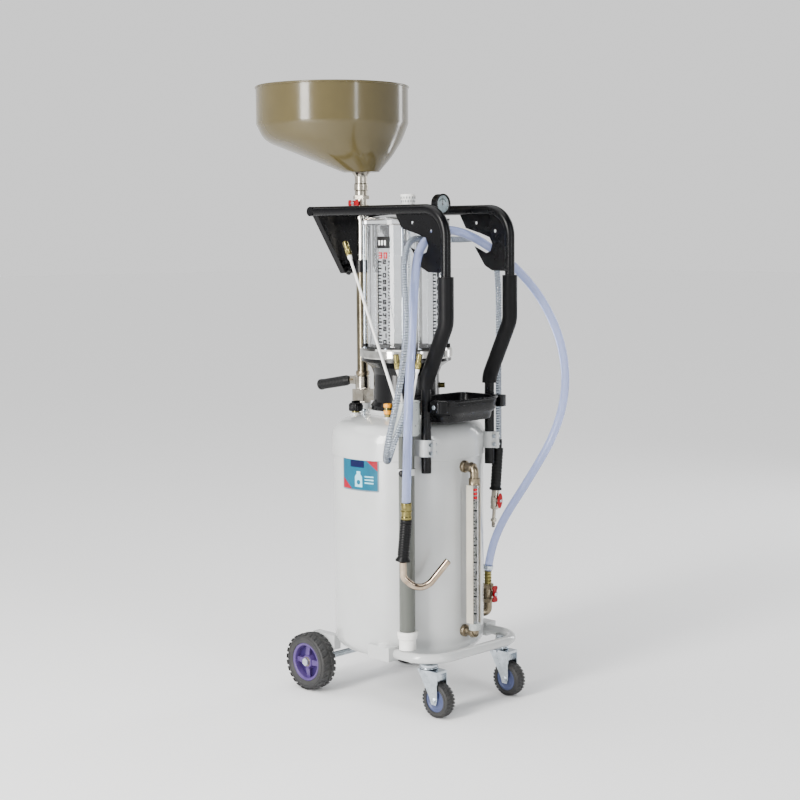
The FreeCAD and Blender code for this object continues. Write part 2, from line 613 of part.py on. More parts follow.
def vacuum_gauge():
    case = dial_axis(0, DIAL_DEPTH, DIAL_CASE_R).cut(dial_axis(DIAL_RECESS, DIAL_DEPTH + 2, DIAL_CASE_R - 3))
    shaft = dial_axis(DIAL_RECESS - 2, NEEDLE_FAR - 0.2, NEEDLE_SHAFT_R)
    save("vacuum_gauge", fuse([case, gauge_stem(), shaft]))
    ring_part = dial_axis(NEEDLE_NEAR, NEEDLE_FAR, 2.6)
    pointer = block((DIAL_X - 0.8, DIAL_X + 0.8), (DIAL_BACK_Y - NEEDLE_FAR, DIAL_BACK_Y - NEEDLE_NEAR),
                    (DIAL_Z - 4, DIAL_Z + 16))
    hole = dial_axis(10, DIAL_DEPTH, NEEDLE_SHAFT_R + RUNNING)
    save("gauge_needle", fuse([ring_part, pointer]).cut(hole))


# ---- probe store ---------------------------------------------------------------------
HOLDER_R, HOLDER_LOW, HOLDER_HIGH = 33.0, 708.0, 790.0
STORE_FOOT = 205.0


def probe_store():
    save("probe_tube", ring(STORE_R, STORE_BORE, STORE_FOOT, HOLDER_LOW, PROBE_X, PROBE_Y))
    holder = cylinder(HOLDER_R, HOLDER_LOW, HOLDER_HIGH, PROBE_X, PROBE_Y)
    holder = holder.cut(cylinder(HOLDER_R - 2, HOLDER_LOW + 3, HOLDER_HIGH + 5, PROBE_X, PROBE_Y))
    save("probe_holder", holder.cut(cylinder(STORE_BORE, 690, 730, PROBE_X, PROBE_Y)).cut(TANK_SOLID))
    cup = fuse([cylinder(21.5, 165, 195, PROBE_X, PROBE_Y),
                lathe([(0, 190), (22, 190), (24.5, 194), (24.5, 211), (0, 211)], PROBE_X, PROBE_Y)])
    cup = cup.cut(cylinder(STORE_R, STORE_FOOT, 220, PROBE_X, PROBE_Y))
    save("probe_cup", cup.cut(cylinder(STORE_BORE, 169, 220, PROBE_X, PROBE_Y)).cut(TANK_SOLID))


PROBES = {
    "probe_long": ((-178.5, -167.0, 713.5), (-179, 44, 1181), 4.0),
    "probe_medium": ((-152.5, -153.5, 640), (-174.5, -130, 905), 3.2),
    "probe_short": ((-173.5, -151.5, 640), (-144, -183, 907), 3.2),
}


def probes():
    """Plastic or steel suction probes, each with its brass coupling."""
    for name, (foot, head, radius) in PROBES.items():
        axis = (V(*head) - V(*foot)).normalize()
        neck = V(*head) - axis * 38
        coupling = rod(tuple(neck), head, 7.5)
        collar = rod(tuple(neck - axis * 8), tuple(neck + axis), radius + 1.6)
        save(name, fuse([rod(foot, tuple(neck + axis), radius), collar, coupling]))


# ---- level gauge, outlet, tray, fittings -------------------------------------------
LEVEL_LOW, LEVEL_HIGH = 212.0, 574.0   # ends of the clear level tube


def level_gauge():
    elbows = []
    for low, high, pipe_z in ((180, LEVEL_LOW, 193), (LEVEL_HIGH, 632, 612)):
        elbow = fuse([cylinder(13.5, low, high, 0, GAUGE_Y),
                      rod((0, -180, pipe_z), (0, GAUGE_Y, pipe_z), 11),
                      rod((0, -185, pipe_z), (0, -203, pipe_z), 16)])
        elbows.append(elbow.cut(TANK_SOLID))
    save("level_elbows", *elbows)
    save("level_tube", ring(10.5, 8.0, LEVEL_LOW, LEVEL_HIGH, 0, GAUGE_Y))
    channel = block((-15, 15), (GAUGE_Y - 8, GAUGE_Y + 14), (LEVEL_LOW + 4, LEVEL_HIGH - 4))
    save("level_guard", channel.cut(block((-13, 13), (GAUGE_Y - 10, GAUGE_Y + 12), (200, 600))))


def outlet_post(radius, low, high):
    """A round length of the discharge valve, by heights above its elbow."""
    return cylinder(radius, OUTLET_Z + low, OUTLET_Z + high, OUTLET_X, OUTLET_Y)


def outlet_stem(radius, near, far):
    """A bar along the valve's handle axis, by its distances in front of the valve."""
    height = OUTLET_Z + OUTLET_STEM
    return rod((OUTLET_X, OUTLET_Y - near, height), (OUTLET_X, OUTLET_Y - far, height), radius)


def outlet():
    buried = (TANK_R - 8) / math.hypot(OUTLET_X, OUTLET_Y)
    inner = (OUTLET_X * buried, OUTLET_Y * buried, OUTLET_Z)
    pipe = [rod(inner, (OUTLET_X, OUTLET_Y, OUTLET_Z), 10), outlet_post(12, -15, 27),
            hexagon(27, OUTLET_Z + 27, OUTLET_Z + 39, OUTLET_X, OUTLET_Y), outlet_post(12.5, 37, 67),
            hexagon(27, OUTLET_Z + 65, OUTLET_Z + 77, OUTLET_X, OUTLET_Y),
            outlet_post(9, 77, OUTLET_BARB), outlet_stem(7, 0, 21)]
    save("outlet_valve", fuse(pipe).cut(outlet_stem(3 + RUNNING, 13, 30)).cut(TANK_SOLID))
    middle, half, face = OUTLET_Z + OUTLET_STEM, 22.0, OUTLET_Y - 24
    bar = block((OUTLET_X - 6, OUTLET_X + 6), (face - 4, face), (middle - half, middle + half))
    save("outlet_handle", fuse([outlet_stem(3, 13.5, 27), bar, outlet_stem(8, 23, 29)]))


def tray():
    """Moulded tool tray that sits on the tank's shoulder between the handle feet."""
    wall, half, ear_half = 2.5, 104.0, 127.0
    front, shelf_back, deep_back, ear_back = -240.0, -98.0, -150.0, -195.0
    deep, shelf, ear = 731.0, 750.0, 758.0

    def pan(inset, top):
        across = (-half + inset, half - inset)
        ears_across = (-ear_half + inset, ear_half - inset)
        near = front + inset
        deep_part = rounded_block(across, (near, deep_back - inset), (deep + inset, top), 34 - inset)
        shelf_part = rounded_block(across, (front + 20, shelf_back - inset), (shelf + inset, top), 20 - inset)
        ears = rounded_block(ears_across, (near, ear_back - inset), (ear + inset, top), 12 - inset)
        return fuse([deep_part, shelf_part, ears])

    save("tool_tray", pan(0, TRAY_RIM).cut(pan(wall, TRAY_RIM + 5)))


def tank_fittings():
    """Brass neck of the filler and the yellow-capped relief valve."""
    neck = fuse([ring(11, 8, 735, 738, CAP_X, CAP_Y), ring(9, 7, 738, 748, CAP_X, CAP_Y)])
    relief = fuse([hexagon(15, 737, 745, RELIEF_X, RELIEF_Y),
                   cylinder(9.5, 745, 771, RELIEF_X, RELIEF_Y)])
    return [neck, relief]


def filler_cap():
    cap = cylinder(19, 739, 766, CAP_X, CAP_Y)
    save("filler_cap", cap.cut(cylinder(9 + RUNNING, 730, 749, CAP_X, CAP_Y)))


def fasteners():
    """Axle nuts, caster nuts, clamp bolts and the tie rods of the measuring bowl."""
    solids = []
    for side in (-1, 1):
        inner_x, outer_x = sorted((side * 199.5, side * 205))
        solids.append(nut_on_x(19, inner_x, outer_x, AXLE_Y, WHEEL_R))
        solids.append(hexagon(16, 146, 153, side * CASTER_X, CASTER_Y))
        for z in (660, 681):
            for inner_x, outer_x in ((-10, -5), (5, 10)):
                solids.append(nut_on_x(9, side * HANDLE_X + inner_x, side * HANDLE_X + outer_x,
                                       HANDLE_LOW_Y - 23, z))
    for k in range(4):
        angle = math.radians(40 + 90 * k)
        x, y = 107.5 * math.cos(angle), BOWL_Y + 107.5 * math.sin(angle)
        solids.append(cylinder(3.5, BOWL_FOOT, BOWL_HEAD, x, y))
    save("fasteners", *solids)


# ---- hoses and what is on them ----------------------------------------------------
SPOUT_R = 8.8


def discharge_gun():
    """Ferrule, ribbed grip and bent outlet pipe on the end of the discharge hose."""
    top = DISCHARGE_ROUTE[-1]
    grip_head, grip_foot = (-197, -185, 503), (-203, -178, 395)
    ferrule = rod(grip_head, top, 14)
    flange = cylinder(19, grip_foot[2], grip_foot[2] + 5, grip_foot[0], grip_foot[1])
    save("discharge_grip", fuse([rod(grip_head, grip_foot, 15), flange]), ferrule)
    spout = [grip_foot, (-202, -179, 356), (-180, -199, 330), (-157, -220, 336), (-121, -254, 398)]
    bends = [20, 38, 44]
    outside = swept(spout, SPOUT_R, bends)[0]
    save("discharge_spout", outside.cut(swept(spout, SPOUT_R - 1.6, bends)[0]))


GUN_X, GUN_Y, GUN_PIVOT_Z = 153.0, -179.0, 508.0
GUN_LEAN = 5.44           # degrees the gun leans inward under its hose


def leaning(solid):
    solid.rotate(V(GUN_X, GUN_Y, SUCTION_ROUTE[-1][2]), V(0, 1, 0), GUN_LEAN)
    return solid


def suction_gun():
    top = SUCTION_ROUTE[-1][2]
    save("suction_grip", leaning(cylinder(14, 534, 645, GUN_X, GUN_Y)),
         leaning(cylinder(10, 645, top, GUN_X, GUN_Y)))
    body = fuse([cylinder(10, 484, 534, GUN_X, GUN_Y), cylinder(5, 452, 486, GUN_X, GUN_Y),
                 lathe([(0, 437), (8, 437), (8, 442), (5, 455), (0, 455)], GUN_X, GUN_Y),
                 rod((GUN_X, GUN_Y, GUN_PIVOT_Z), (GUN_X, GUN_Y - 14, GUN_PIVOT_Z), 6)])
    body = body.cut(cylinder(3.5, 430, 540, GUN_X, GUN_Y))
    bore = rod((GUN_X, GUN_Y - 8, GUN_PIVOT_Z), (GUN_X, GUN_Y - 20, GUN_PIVOT_Z), 2.5 + RUNNING)
    save("suction_valve", leaning(body.cut(bore)))
    lever = fuse([rod((GUN_X, GUN_Y - 8.5, GUN_PIVOT_Z), (GUN_X, GUN_Y - 18, GUN_PIVOT_Z), 2.5),
                  block((GUN_X - 5, GUN_X + 5), (GUN_Y - 19, GUN_Y - 16), (488, 528))])
    save("suction_lever", leaning(lever))


def build():
    os.makedirs("parts", exist_ok=True)
    tank()
    base_frame()
    axle_brackets()
    rear_axle()
    caster_stems()
    for side, word in ((-1, "left"), (1, "right")):
        rear_wheel(side, word)
        caster(side, word)
    handles()
    hand_grips()
    tube_clamps()
    hook_plates()
    rear_panel()
    post_clamp()
    star_knob()
    post_base()
    valve_lever()
    post_sleeve()
    mast_tube()
    funnel_valve()
    funnel_valve_handle()
    funnel()
    bowl()
    silencer()
    vacuum_gauge()
    probe_store()
    probes()
    level_gauge()
    outlet()
    tray()
    filler_cap()
    fasteners()
    discharge_gun()
    suction_gun()
    hose("discharge_hose", DISCHARGE_ROUTE, DISCHARGE_D)
    hose("suction_hose", SUCTION_ROUTE, SUCTION_D)


build()
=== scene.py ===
import math
import random

import bmesh
import bpy
import numpy as np
from mathutils import Matrix, Vector


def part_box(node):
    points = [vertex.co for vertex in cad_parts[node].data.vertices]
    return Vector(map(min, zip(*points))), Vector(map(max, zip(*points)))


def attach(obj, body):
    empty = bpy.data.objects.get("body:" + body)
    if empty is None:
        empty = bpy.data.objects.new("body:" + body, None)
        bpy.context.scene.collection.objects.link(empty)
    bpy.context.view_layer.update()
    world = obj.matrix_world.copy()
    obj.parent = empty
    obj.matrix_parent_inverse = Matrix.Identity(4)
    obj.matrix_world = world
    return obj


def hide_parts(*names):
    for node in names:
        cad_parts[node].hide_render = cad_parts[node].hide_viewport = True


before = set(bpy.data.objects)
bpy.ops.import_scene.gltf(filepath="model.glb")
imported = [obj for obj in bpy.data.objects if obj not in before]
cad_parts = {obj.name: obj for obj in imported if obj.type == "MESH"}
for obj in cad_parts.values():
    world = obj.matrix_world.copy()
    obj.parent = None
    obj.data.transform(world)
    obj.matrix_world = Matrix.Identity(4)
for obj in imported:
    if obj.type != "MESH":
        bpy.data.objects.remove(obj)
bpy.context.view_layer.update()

random.seed(4)

# Everything below is in metres, but lathe and collar take millimetres. Pieces are built from
# the tank's axis (X = Y = 0) with the floor at Z = 0, and SHIFT puts them in the frame.
BOWL_Y = 0.006
SHIFT = Vector((0, (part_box("bowl_flange")[0].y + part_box("bowl_flange")[1].y) / 2 - BOWL_Y, 0))
MM = 0.001
FACING_RIGHT = Matrix(((0, 0, 1, 0), (1, 0, 0, 0), (0, 1, 0, 0), (0, 0, 0, 1)))
FACING_FRONT = Matrix(((0, -1, 0, 0), (0, 0, -1, 0), (1, 0, 0, 0), (0, 0, 0, 1)))


# ---- meshes --------------------------------------------------------------------
def soften(points, radius, closed=True, steps=4):
    """Round the corners of an outline; radius is one value or one for each point."""
    rounded = []
    count = len(points)
    for index, point in enumerate(points):
        setback = radius[index] if isinstance(radius, (list, tuple)) else radius
        if setback <= 0 or (not closed and index in (0, count - 1)):
            rounded.append(tuple(point))
            continue
        corner = np.array(point, float)
        before = np.array(points[index - 1], float) - corner
        after = np.array(points[(index + 1) % count], float) - corner
        back = min(setback, 0.48 * np.linalg.norm(before), 0.48 * np.linalg.norm(after))
        start = corner + before / np.linalg.norm(before) * back
        end = corner + after / np.linalg.norm(after) * back
        for t in (k / steps for k in range(steps + 1)):
            rounded.append(tuple((1 - t) ** 2 * start + 2 * t * (1 - t) * corner + t * t * end))
    return rounded


def mirrored(points):
    """A closed outline from its upper half: (radius, z) points and their image below zero."""
    return [(r, -z) for r, z in points] + list(reversed(points))


def turns(count):
    """Angles evenly round a full turn."""
    return [2 * math.pi * k / count for k in range(count)]


def turned(profile, segments=48, closed=True):
    """Vertices and faces of a (radius, z) outline turned about Z."""
    count = len(profile)
    verts = [(r * math.cos(t), r * math.sin(t), z) for t in turns(segments) for r, z in profile]
    faces = []
    for s in range(segments):
        here, there = s * count, ((s + 1) % segments) * count
        for k in range(count if closed else count - 1):
            after = (k + 1) % count
            faces.append((here + k, there + k, there + after, here + after))
    return verts, faces


def lathe(rows, segments=48, closed=False):
    """Turn rows of (radius, z, rounding), in millimetres, about Z."""
    rows = [[value * MM for value in (*row, 0)[:3]] for row in rows]
    return turned(soften([row[:2] for row in rows], [row[2] for row in rows], closed), segments, closed)


def collar(inner, outer, low, high, rounding, segments=48):
    """A ring with a square section, in millimetres."""
    corners = ((inner, low), (outer, low), (outer, high), (inner, high))
    return lathe([(r, z, rounding) for r, z in corners], segments, True)


def prism(outline, low, high):
    """An (x, y) outline raised along Z."""
    count = len(outline)
    verts = [(x, y, low) for x, y in outline] + [(x, y, high) for x, y in outline]
    faces = [tuple(reversed(range(count))), tuple(range(count, 2 * count))]
    faces += [(k, (k + 1) % count, count + (k + 1) % count, count + k) for k in range(count)]
    return verts, faces


def stack(rings, caps=True):
    """Skin a list of rings that have the same number of points."""
    count = len(rings[0])
    verts = [point for ring in rings for point in ring]
    faces = []
    for here in range(0, len(verts) - count, count):
        there = here + count
        faces += [(here + k, here + (k + 1) % count, there + (k + 1) % count, there + k)
                  for k in range(count)]
    if caps:
        faces.append(tuple(reversed(range(count))))
        faces.append(tuple(range(len(verts) - count, len(verts))))
    return verts, faces


def lobed(count, z, reach):
    """A ring of points whose radius follows a function of the angle."""
    return [(reach(t) * math.cos(t), reach(t) * math.sin(t), z) for t in turns(count)]


def rectangle(left, right, low, high):
    return [(left, low), (right, low), (right, high), (left, high)]


def brick(low, high):
    """A plain block between two corners, meant to be bevelled."""
    return prism(rectangle(low[0], high[0], low[1], high[1]), low[2], high[2])


def moved(part, matrix):
    verts, faces = part
    return [tuple(matrix @ Vector(v)) for v in verts], faces


def shifted(part, x=0.0, y=0.0, z=0.0):
    return moved(part, Matrix.Translation((x, y, z)))


def along(part, start, end):
    """Move a part built on +Z so that it starts at one point and aims at another."""
    aim = (Vector(end) - Vector(start)).to_track_quat("Z", "Y").to_matrix().to_4x4()
    return moved(part, Matrix.Translation(start) @ aim)


def joined(*parts):
    verts, faces = [], []
    for part_verts, part_faces in parts:
        base = len(verts)
        verts += part_verts
        faces += [tuple(base + k for k in face) for face in part_faces]
    return verts, faces


def rod(start, end, radius, segments=32, edge=0.0006):
    """A round bar with softened ends."""
    length = (Vector(end) - Vector(start)).length
    outline = soften([(0, 0), (radius, 0), (radius, length), (0, length)], edge, closed=False, steps=2)
    return along(turned(outline, segments, closed=False), start, end)


def tube(points, radius, sides=12, caps=True):
    """A round bar along a line of points; radius is one value or one for each point."""
    points = [Vector(p) for p in points]
    ahead = (points[1] - points[0]).normalized()
    side = ahead.orthogonal().normalized()
    rings = []
    for index, point in enumerate(points):
        turn = (points[min(index + 1, len(points) - 1)] - points[max(index - 1, 0)]).normalized()
        side = (ahead.rotation_difference(turn) @ side).normalized()
        ahead = turn
        other = turn.cross(side)
        size = radius[index] if isinstance(radius, (list, tuple)) else radius
        rings.append([tuple(point + (side * math.cos(a) + other * math.sin(a)) * size)
                      for a in turns(sides)])
    return stack(rings, caps)


def hexagon(across, low, high):
    corner = across / math.sqrt(3)
    return prism([(corner * math.cos(t), corner * math.sin(t)) for t in turns(6)], low, high)


def nut(across, low, high, x, y):
    return shifted(hexagon(across, low, high), x, y)


def wrapped(outlines, radius, thick, angle, centre_y=0.0, slice_width=0.004):
    """Flat (along, height) outlines laid on an upright cylinder, as raised plates."""
    work = bmesh.new()
    for outline in outlines:
        face = work.faces.new([work.verts.new((u, 0, v)) for u, v in outline])
        raised = bmesh.ops.extrude_face_region(work, geom=[face])["geom"]
        for vert in (g for g in raised if isinstance(g, bmesh.types.BMVert)):
            vert.co.y = 1.0
    cut = min(v.co.x for v in work.verts) + slice_width
    high = max(v.co.x for v in work.verts)
    while cut < high:
        bmesh.ops.bisect_plane(work, geom=work.verts[:] + work.edges[:] + work.faces[:],
                               plane_co=(cut, 0, 0), plane_no=(1, 0, 0))
        cut += slice_width
    bmesh.ops.recalc_face_normals(work, faces=work.faces)
    work.verts.index_update()
    verts = []
    for vert in work.verts:
        turn = angle + vert.co.x / radius
        reach = radius + vert.co.y * thick
        verts.append((reach * math.cos(turn), centre_y + reach * math.sin(turn), vert.co.z))
    faces = [tuple(v.index for v in face.verts) for face in work.faces]
    work.free()
    return verts, faces


def bounds_of(node):
    """Lowest and highest corner of a CAD node, in build coordinates."""
    low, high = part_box(node)
    return low - SHIFT, high - SHIFT


def middle(node):
    """Centre and half size of a CAD node, in build coordinates."""
    low, high = bounds_of(node)
    return (low + high) / 2, (high - low) / 2


def placed(name, data):
    obj = bpy.data.objects.new(name, data)
    bpy.context.scene.collection.objects.link(obj)
    return obj


def register(obj, finish, body, node):
    """Give an object its material, the body that it rides on and the node that it replaces."""
    obj.data.materials.append(M[finish])
    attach(obj, body)
    if node:
        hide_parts(node)
    return obj


def piece(name, part, finish, body="chassis", node="", slot="", bevel=0.0, smooth=35.0):
    """Make one object from a part, in the frame."""
    verts, faces = part
    mesh = bpy.data.meshes.new(name)
    mesh.from_pydata([Vector(v) + SHIFT for v in verts], [], faces)
    work = bmesh.new()
    work.from_mesh(mesh)
    bmesh.ops.remove_doubles(work, verts=work.verts, dist=1e-6)
    bmesh.ops.recalc_face_normals(work, faces=work.faces)
    work.to_mesh(mesh)
    work.free()
    obj = placed(name, mesh)
    if bevel:
        edge = obj.modifiers.new("edge", "BEVEL")
        edge.width, edge.segments, edge.limit_method = bevel, 2, "ANGLE"
        edge.angle_limit = math.radians(40)
        edge.harden_normals = False
    mesh.shade_smooth()
    if smooth < 180:
        mesh.set_sharp_from_angle(angle=math.radians(smooth))
    return register(obj, finish, body, node)


# ---- materials -----------------------------------------------------------------
def linear(red, green, blue, dim=1.0):
    """A screen colour (0 to 255) as a linear colour, dimmed by a factor."""
    def channel(value):
        value /= 255
        return dim * (value / 12.92 if value <= 0.04045 else ((value + 0.055) / 1.055) ** 2.4)
    return (channel(red), channel(green), channel(blue), 1.0)


class Finish:
    """A procedural material: a Principled shader with noise for colour, gloss and bump."""

    def __init__(self, name, colour, rough, **sockets):
        self.material = bpy.data.materials.new(name)
        self.material.use_nodes = True
        self.tree = self.material.node_tree
        self.shader = self.tree.nodes["Principled BSDF"]
        self.colour, self.bumped, self.rough = linear(*colour), None, rough
        self.feed(self.shader, Base_Color=self.colour, Roughness=rough, **sockets)
        self.coords = self.tree.nodes.new("ShaderNodeTexCoord").outputs["Object"]

    def feed(self, node, **inputs):
        """Set a node's inputs by name, to values or to the outputs of other nodes."""
        for name, value in inputs.items():
            socket = node.inputs[name.replace("_", " ")]
            if isinstance(value, bpy.types.NodeSocket):
                self.tree.links.new(value, socket)
            else:
                socket.default_value = value

    def node(self, kind, output, **inputs):
        made = self.tree.nodes.new("ShaderNode" + kind)
        self.feed(made, **inputs)
        return made.outputs[output]

    def noise(self, scale, detail=3.0, roughness=0.5, stretch=None):
        place = self.coords
        if stretch:
            place = self.node("Mapping", "Vector", Vector=place, Scale=stretch)
        return self.node("TexNoise", "Fac", Vector=place, Scale=scale, Detail=detail, Roughness=roughness)

    def ranged(self, source, low, high, start=0.0, end=1.0):
        return self.node("MapRange", "Result", Value=source, From_Min=low, From_Max=high,
                         To_Min=start, To_Max=end)

    def tint(self, mask, colour, dim=1.0):
        """Blend another colour over the base where the mask is high."""
        mix = self.tree.nodes.new("ShaderNodeMix")
        mix.data_type = "RGBA"
        self.feed(mix, Factor=mask)
        if isinstance(self.colour, tuple):
            mix.inputs[6].default_value = self.colour
        else:
            self.tree.links.new(self.colour, mix.inputs[6])
        mix.inputs[7].default_value = linear(*colour, dim)
        self.colour = mix.outputs[2]
        self.feed(self.shader, Base_Color=self.colour)

    def gloss(self, mask, spread):
        """Vary the roughness by plus or minus a spread."""
        low, high = max(self.rough - spread, 0.02), min(self.rough + spread, 1.0)
        self.feed(self.shader, Roughness=self.ranged(mask, 0.3, 0.7, low, high))

    def bump(self, mask, height, strength):
        below = {"Normal": self.bumped} if self.bumped else {}
        self.bumped = self.node("Bump", "Normal", Strength=strength, Distance=height, Height=mask, **below)
        self.feed(self.shader, Normal=self.bumped)

    def rounded(self, radius, wear, amount):
        """Soft highlights along sharp edges, rubbed to another colour in patches."""
        bevel = self.tree.nodes.new("ShaderNodeBevel")
        bevel.samples = 4
        self.feed(bevel, Radius=radius)
        self.bumped = bevel.outputs["Normal"]
        self.feed(self.shader, Normal=self.bumped)
        if wear:
            flat = self.node("NewGeometry", "Normal")
            dot = self.blend("VectorMath", "DOT_PRODUCT", "Value", self.bumped, flat)
            edge = self.ranged(dot, 0.99, 0.86, 0.0, amount)
            patches = self.ranged(self.noise(70, 4.0, 0.7), 0.46, 0.62)
            self.tint(self.blend("Math", "MULTIPLY", "Value", edge, patches), wear)

    def blend(self, kind, operation, output, first, second):
        made = self.tree.nodes.new("ShaderNode" + kind)
        made.operation = operation
        for source, socket in zip((first, second), made.inputs):
            self.tree.links.new(source, socket)
        return made.outputs[output]


def painted(name, colour, rough, shade, wear, peel=0.00004, coat=0.3, shine=0.5):
    """Sprayed paint: faint mottling, orange peel, scuffs and rubbed edges."""
    made = Finish(name, colour, rough, Coat_Weight=coat, Coat_Roughness=0.1, Specular_IOR_Level=shine)
    made.rounded(0.0008, wear, 0.5)
    made.tint(made.ranged(made.noise(7, 4.0, 0.55), 0.35, 0.75, 0.0, 0.55), shade)
    made.tint(made.ranged(made.noise(85, 5.0, 0.7), 0.62, 0.76, 0.0, 0.3), shade)
    made.gloss(made.noise(22, 4.0, 0.6), 0.06)
    made.bump(made.noise(700, 2.0), peel, 0.3)
    made.bump(made.noise(11, 2.0), 0.0007, 0.15)
    return made.material


def moulded(name, colour, rough, shade, grain=900, height=0.00006, wear=None, shine=0.5):
    """Moulded plastic or rubber with a fine grain."""
    made = Finish(name, colour, rough, Specular_IOR_Level=shine)
    if wear:
        made.rounded(0.0009, wear, 0.4)
    made.tint(made.ranged(made.noise(30, 4.0, 0.6), 0.4, 0.7, 0.0, 0.6), shade)
    made.gloss(made.noise(60, 3.0, 0.6), 0.07)
    made.bump(made.noise(grain, 3.0, 0.6), height, 0.5)
    return made.material


def metal(name, colour, rough, shade, brush=None):
    """Plated or bare metal with cloudy tarnish and fine drawing lines."""
    made = Finish(name, colour, rough, Metallic=1.0)
    made.tint(made.ranged(made.noise(45, 5.0, 0.65), 0.42, 0.72, 0.0, 0.7), shade)
    made.gloss(made.noise(120, 4.0, 0.65), 0.08)
    made.bump(made.noise(260, 2.0, 0.5, brush), 0.00004, 0.25)
    return made.material


def clear(name, colour, rough, weight=0.96, ior=1.45):
    """Clear plastic with faint haze and moulding waves."""
    made = Finish(name, colour, rough, Transmission_Weight=weight, IOR=ior)
    made.tint(made.ranged(made.noise(40, 3.0), 0.45, 0.75, 0.0, 0.4), colour, 0.88)
    made.gloss(made.noise(70, 3.0), 0.04)
    made.bump(made.noise(60, 2.0), 0.00012, 0.25)
    return made.material


DRAWN_UP = (1.0, 1.0, 0.03)
M = {
    "cream": painted("cream paint", (188, 190, 190), 0.2, (172, 173, 171), (140, 136, 126), coat=0.6),
    "black": painted("black paint", (4, 4, 6), 0.28, (9, 9, 10), (52, 50, 48), coat=0.0, shine=0.2),
    "olive": painted("olive paint", (80, 71, 44), 0.2, (68, 61, 38), None, coat=0.35, shine=0.25),
    "red": painted("red paint", (158, 4, 18), 0.26, (112, 2, 10), (170, 70, 70), coat=0.0, shine=0.2),
    "casting": painted("black casting", (5, 5, 7), 0.2, (9, 9, 10), (40, 39, 38), 0.00012, 0.0, 0.25),
    "guard": painted("guard paint", (196, 190, 176), 0.34, (168, 160, 144), (130, 124, 112)),
    "foam": moulded("grip foam", (6, 6, 8), 0.5, (12, 12, 13), 1500, 0.0001, shine=0.15),
    "rubber": moulded("ribbed rubber", (6, 6, 7), 0.45, (13, 13, 13), shine=0.2),
    "tyre": moulded("tyre rubber", (46, 46, 47), 0.5, (64, 63, 61), 700, 0.0002, (106, 105, 101), 0.25),
    "plastic": moulded("black plastic", (6, 6, 8), 0.3, (13, 13, 15), 800, 0.00006, (46, 46, 48), 0.2),
    "white": moulded("white plastic", (238, 238, 235), 0.38, (220, 218, 212), 600, 0.00003),
    "violet": moulded("violet plastic", (80, 62, 116), 0.32, (58, 44, 90), 900, 0.00005,
                      (120, 108, 150), 0.3),
    # Darker copy of the violet plastic: painted shade for the floors of the hub's pockets.
    "violet pocket shade": moulded("violet pocket shade plastic", (44, 30, 78), 0.4, (32, 21, 58), shine=0.2),
    "slate": moulded("slate plastic", (70, 78, 112), 0.4, (54, 60, 90), shine=0.3),
    "yellow": moulded("yellow plastic", (240, 158, 12), 0.34, (206, 120, 8)),
    "zinc": metal("zinc plate", (196, 204, 212), 0.22, (140, 148, 154)),
    "nickel": metal("nickel plate", (176, 170, 158), 0.16, (124, 116, 100), DRAWN_UP),
    "bright": metal("bright steel", (196, 195, 191), 0.1, (128, 126, 120)),
    "chrome": metal("chrome", (226, 222, 214), 0.07, (168, 160, 146), DRAWN_UP),
    "spout": metal("spout plate", (186, 168, 148), 0.08, (120, 98, 78)),
    "sleeve": metal("sleeve plate", (118, 110, 92), 0.18, (66, 60, 47), DRAWN_UP),
    "brass": metal("brass", (134, 124, 76), 0.22, (70, 64, 36)),
    "bronze": metal("dull bronze", (136, 124, 104), 0.3, (72, 64, 50)),
    "clear": clear("clear plastic", (248, 250, 252), 0.03),
    "smoked": clear("smoked tube", (96, 99, 93), 0.14, 0.3),
    "frosted": clear("frosted cup", (206, 212, 210), 0.3, 0.5),
    "hose": clear("clear hose", (180, 192, 234), 0.1, 0.62, 1.38),
    "wire hose": clear("wire hose", (196, 206, 218), 0.12, 0.72, 1.3),
    "spring": metal("hose spring", (82, 86, 94), 0.3, (50, 54, 60)),
    "ink": moulded("scale ink", (8, 8, 9), 0.5, (14, 14, 15), shine=0.2),
    # Grey for the silencer's vent slots: painted shade inside the openings.
    "painted slot shade": moulded("painted slot shade", (120, 124, 128), 0.5, (100, 104, 108)),
    "pink": moulded("scale red", (186, 6, 32), 0.5, (150, 4, 24), shine=0.1),
    "teal": moulded("plate teal", (4, 92, 116), 0.35, (3, 74, 98), shine=0.15),
    "crimson": moulded("plate crimson", (150, 8, 38), 0.35, (122, 5, 30), shine=0.15),
    "navy": moulded("plate navy", (8, 16, 62), 0.35, (5, 11, 48), shine=0.15),
    "pale": moulded("plate pale", (150, 206, 222), 0.35, (110, 184, 204), shine=0.15),
    "slate edge": moulded("plate edge", (92, 112, 124), 0.35, (78, 96, 108)),
    "dial": moulded("dial face", (206, 226, 230), 0.35, (190, 214, 220)),
    "green": moulded("dial green", (20, 104, 96), 0.35, (14, 84, 78)),
    # Near-black matte: painted shade for the dark joint at the foot of the bowl's cylinder.
    "dark": moulded("painted joint shade", (8, 8, 9), 0.7, (14, 14, 15)),
}
CAD_FINISH = {
    "cream": ["tank", "base_frame", "axle_brackets", "tube_clamps"],
    "zinc": ["rear_axle", "caster_stems", "fasteners", "caster_fork_left", "caster_fork_right"],
    "black": ["handle_left", "handle_right", "handle_crossbar", "hook_plates", "rear_panel"],
    "foam": ["hand_grips"],
    "plastic": ["post_clamp"],
    "nickel": ["post_base", "funnel_valve"],
    "sleeve": ["post_sleeve"],
    "bright": ["bowl_flange"],
    "chrome": ["mast_tube"],
    "casting": ["bowl_pedestal", "vacuum_gauge"],
    "clear": ["bowl_lid", "level_tube"],
    "brass": ["fittings"],
    "spout": ["discharge_spout"],
    "ink": ["gauge_needle"],
    "white": ["probe_cup"],
    "smoked": ["probe_tube"],
    "frosted": ["probe_holder"],
    "guard": ["level_guard"],
}
for finish, nodes in CAD_FINISH.items():
    for node in nodes:
        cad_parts[node].data.materials.clear()
        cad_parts[node].data.materials.append(M[finish])


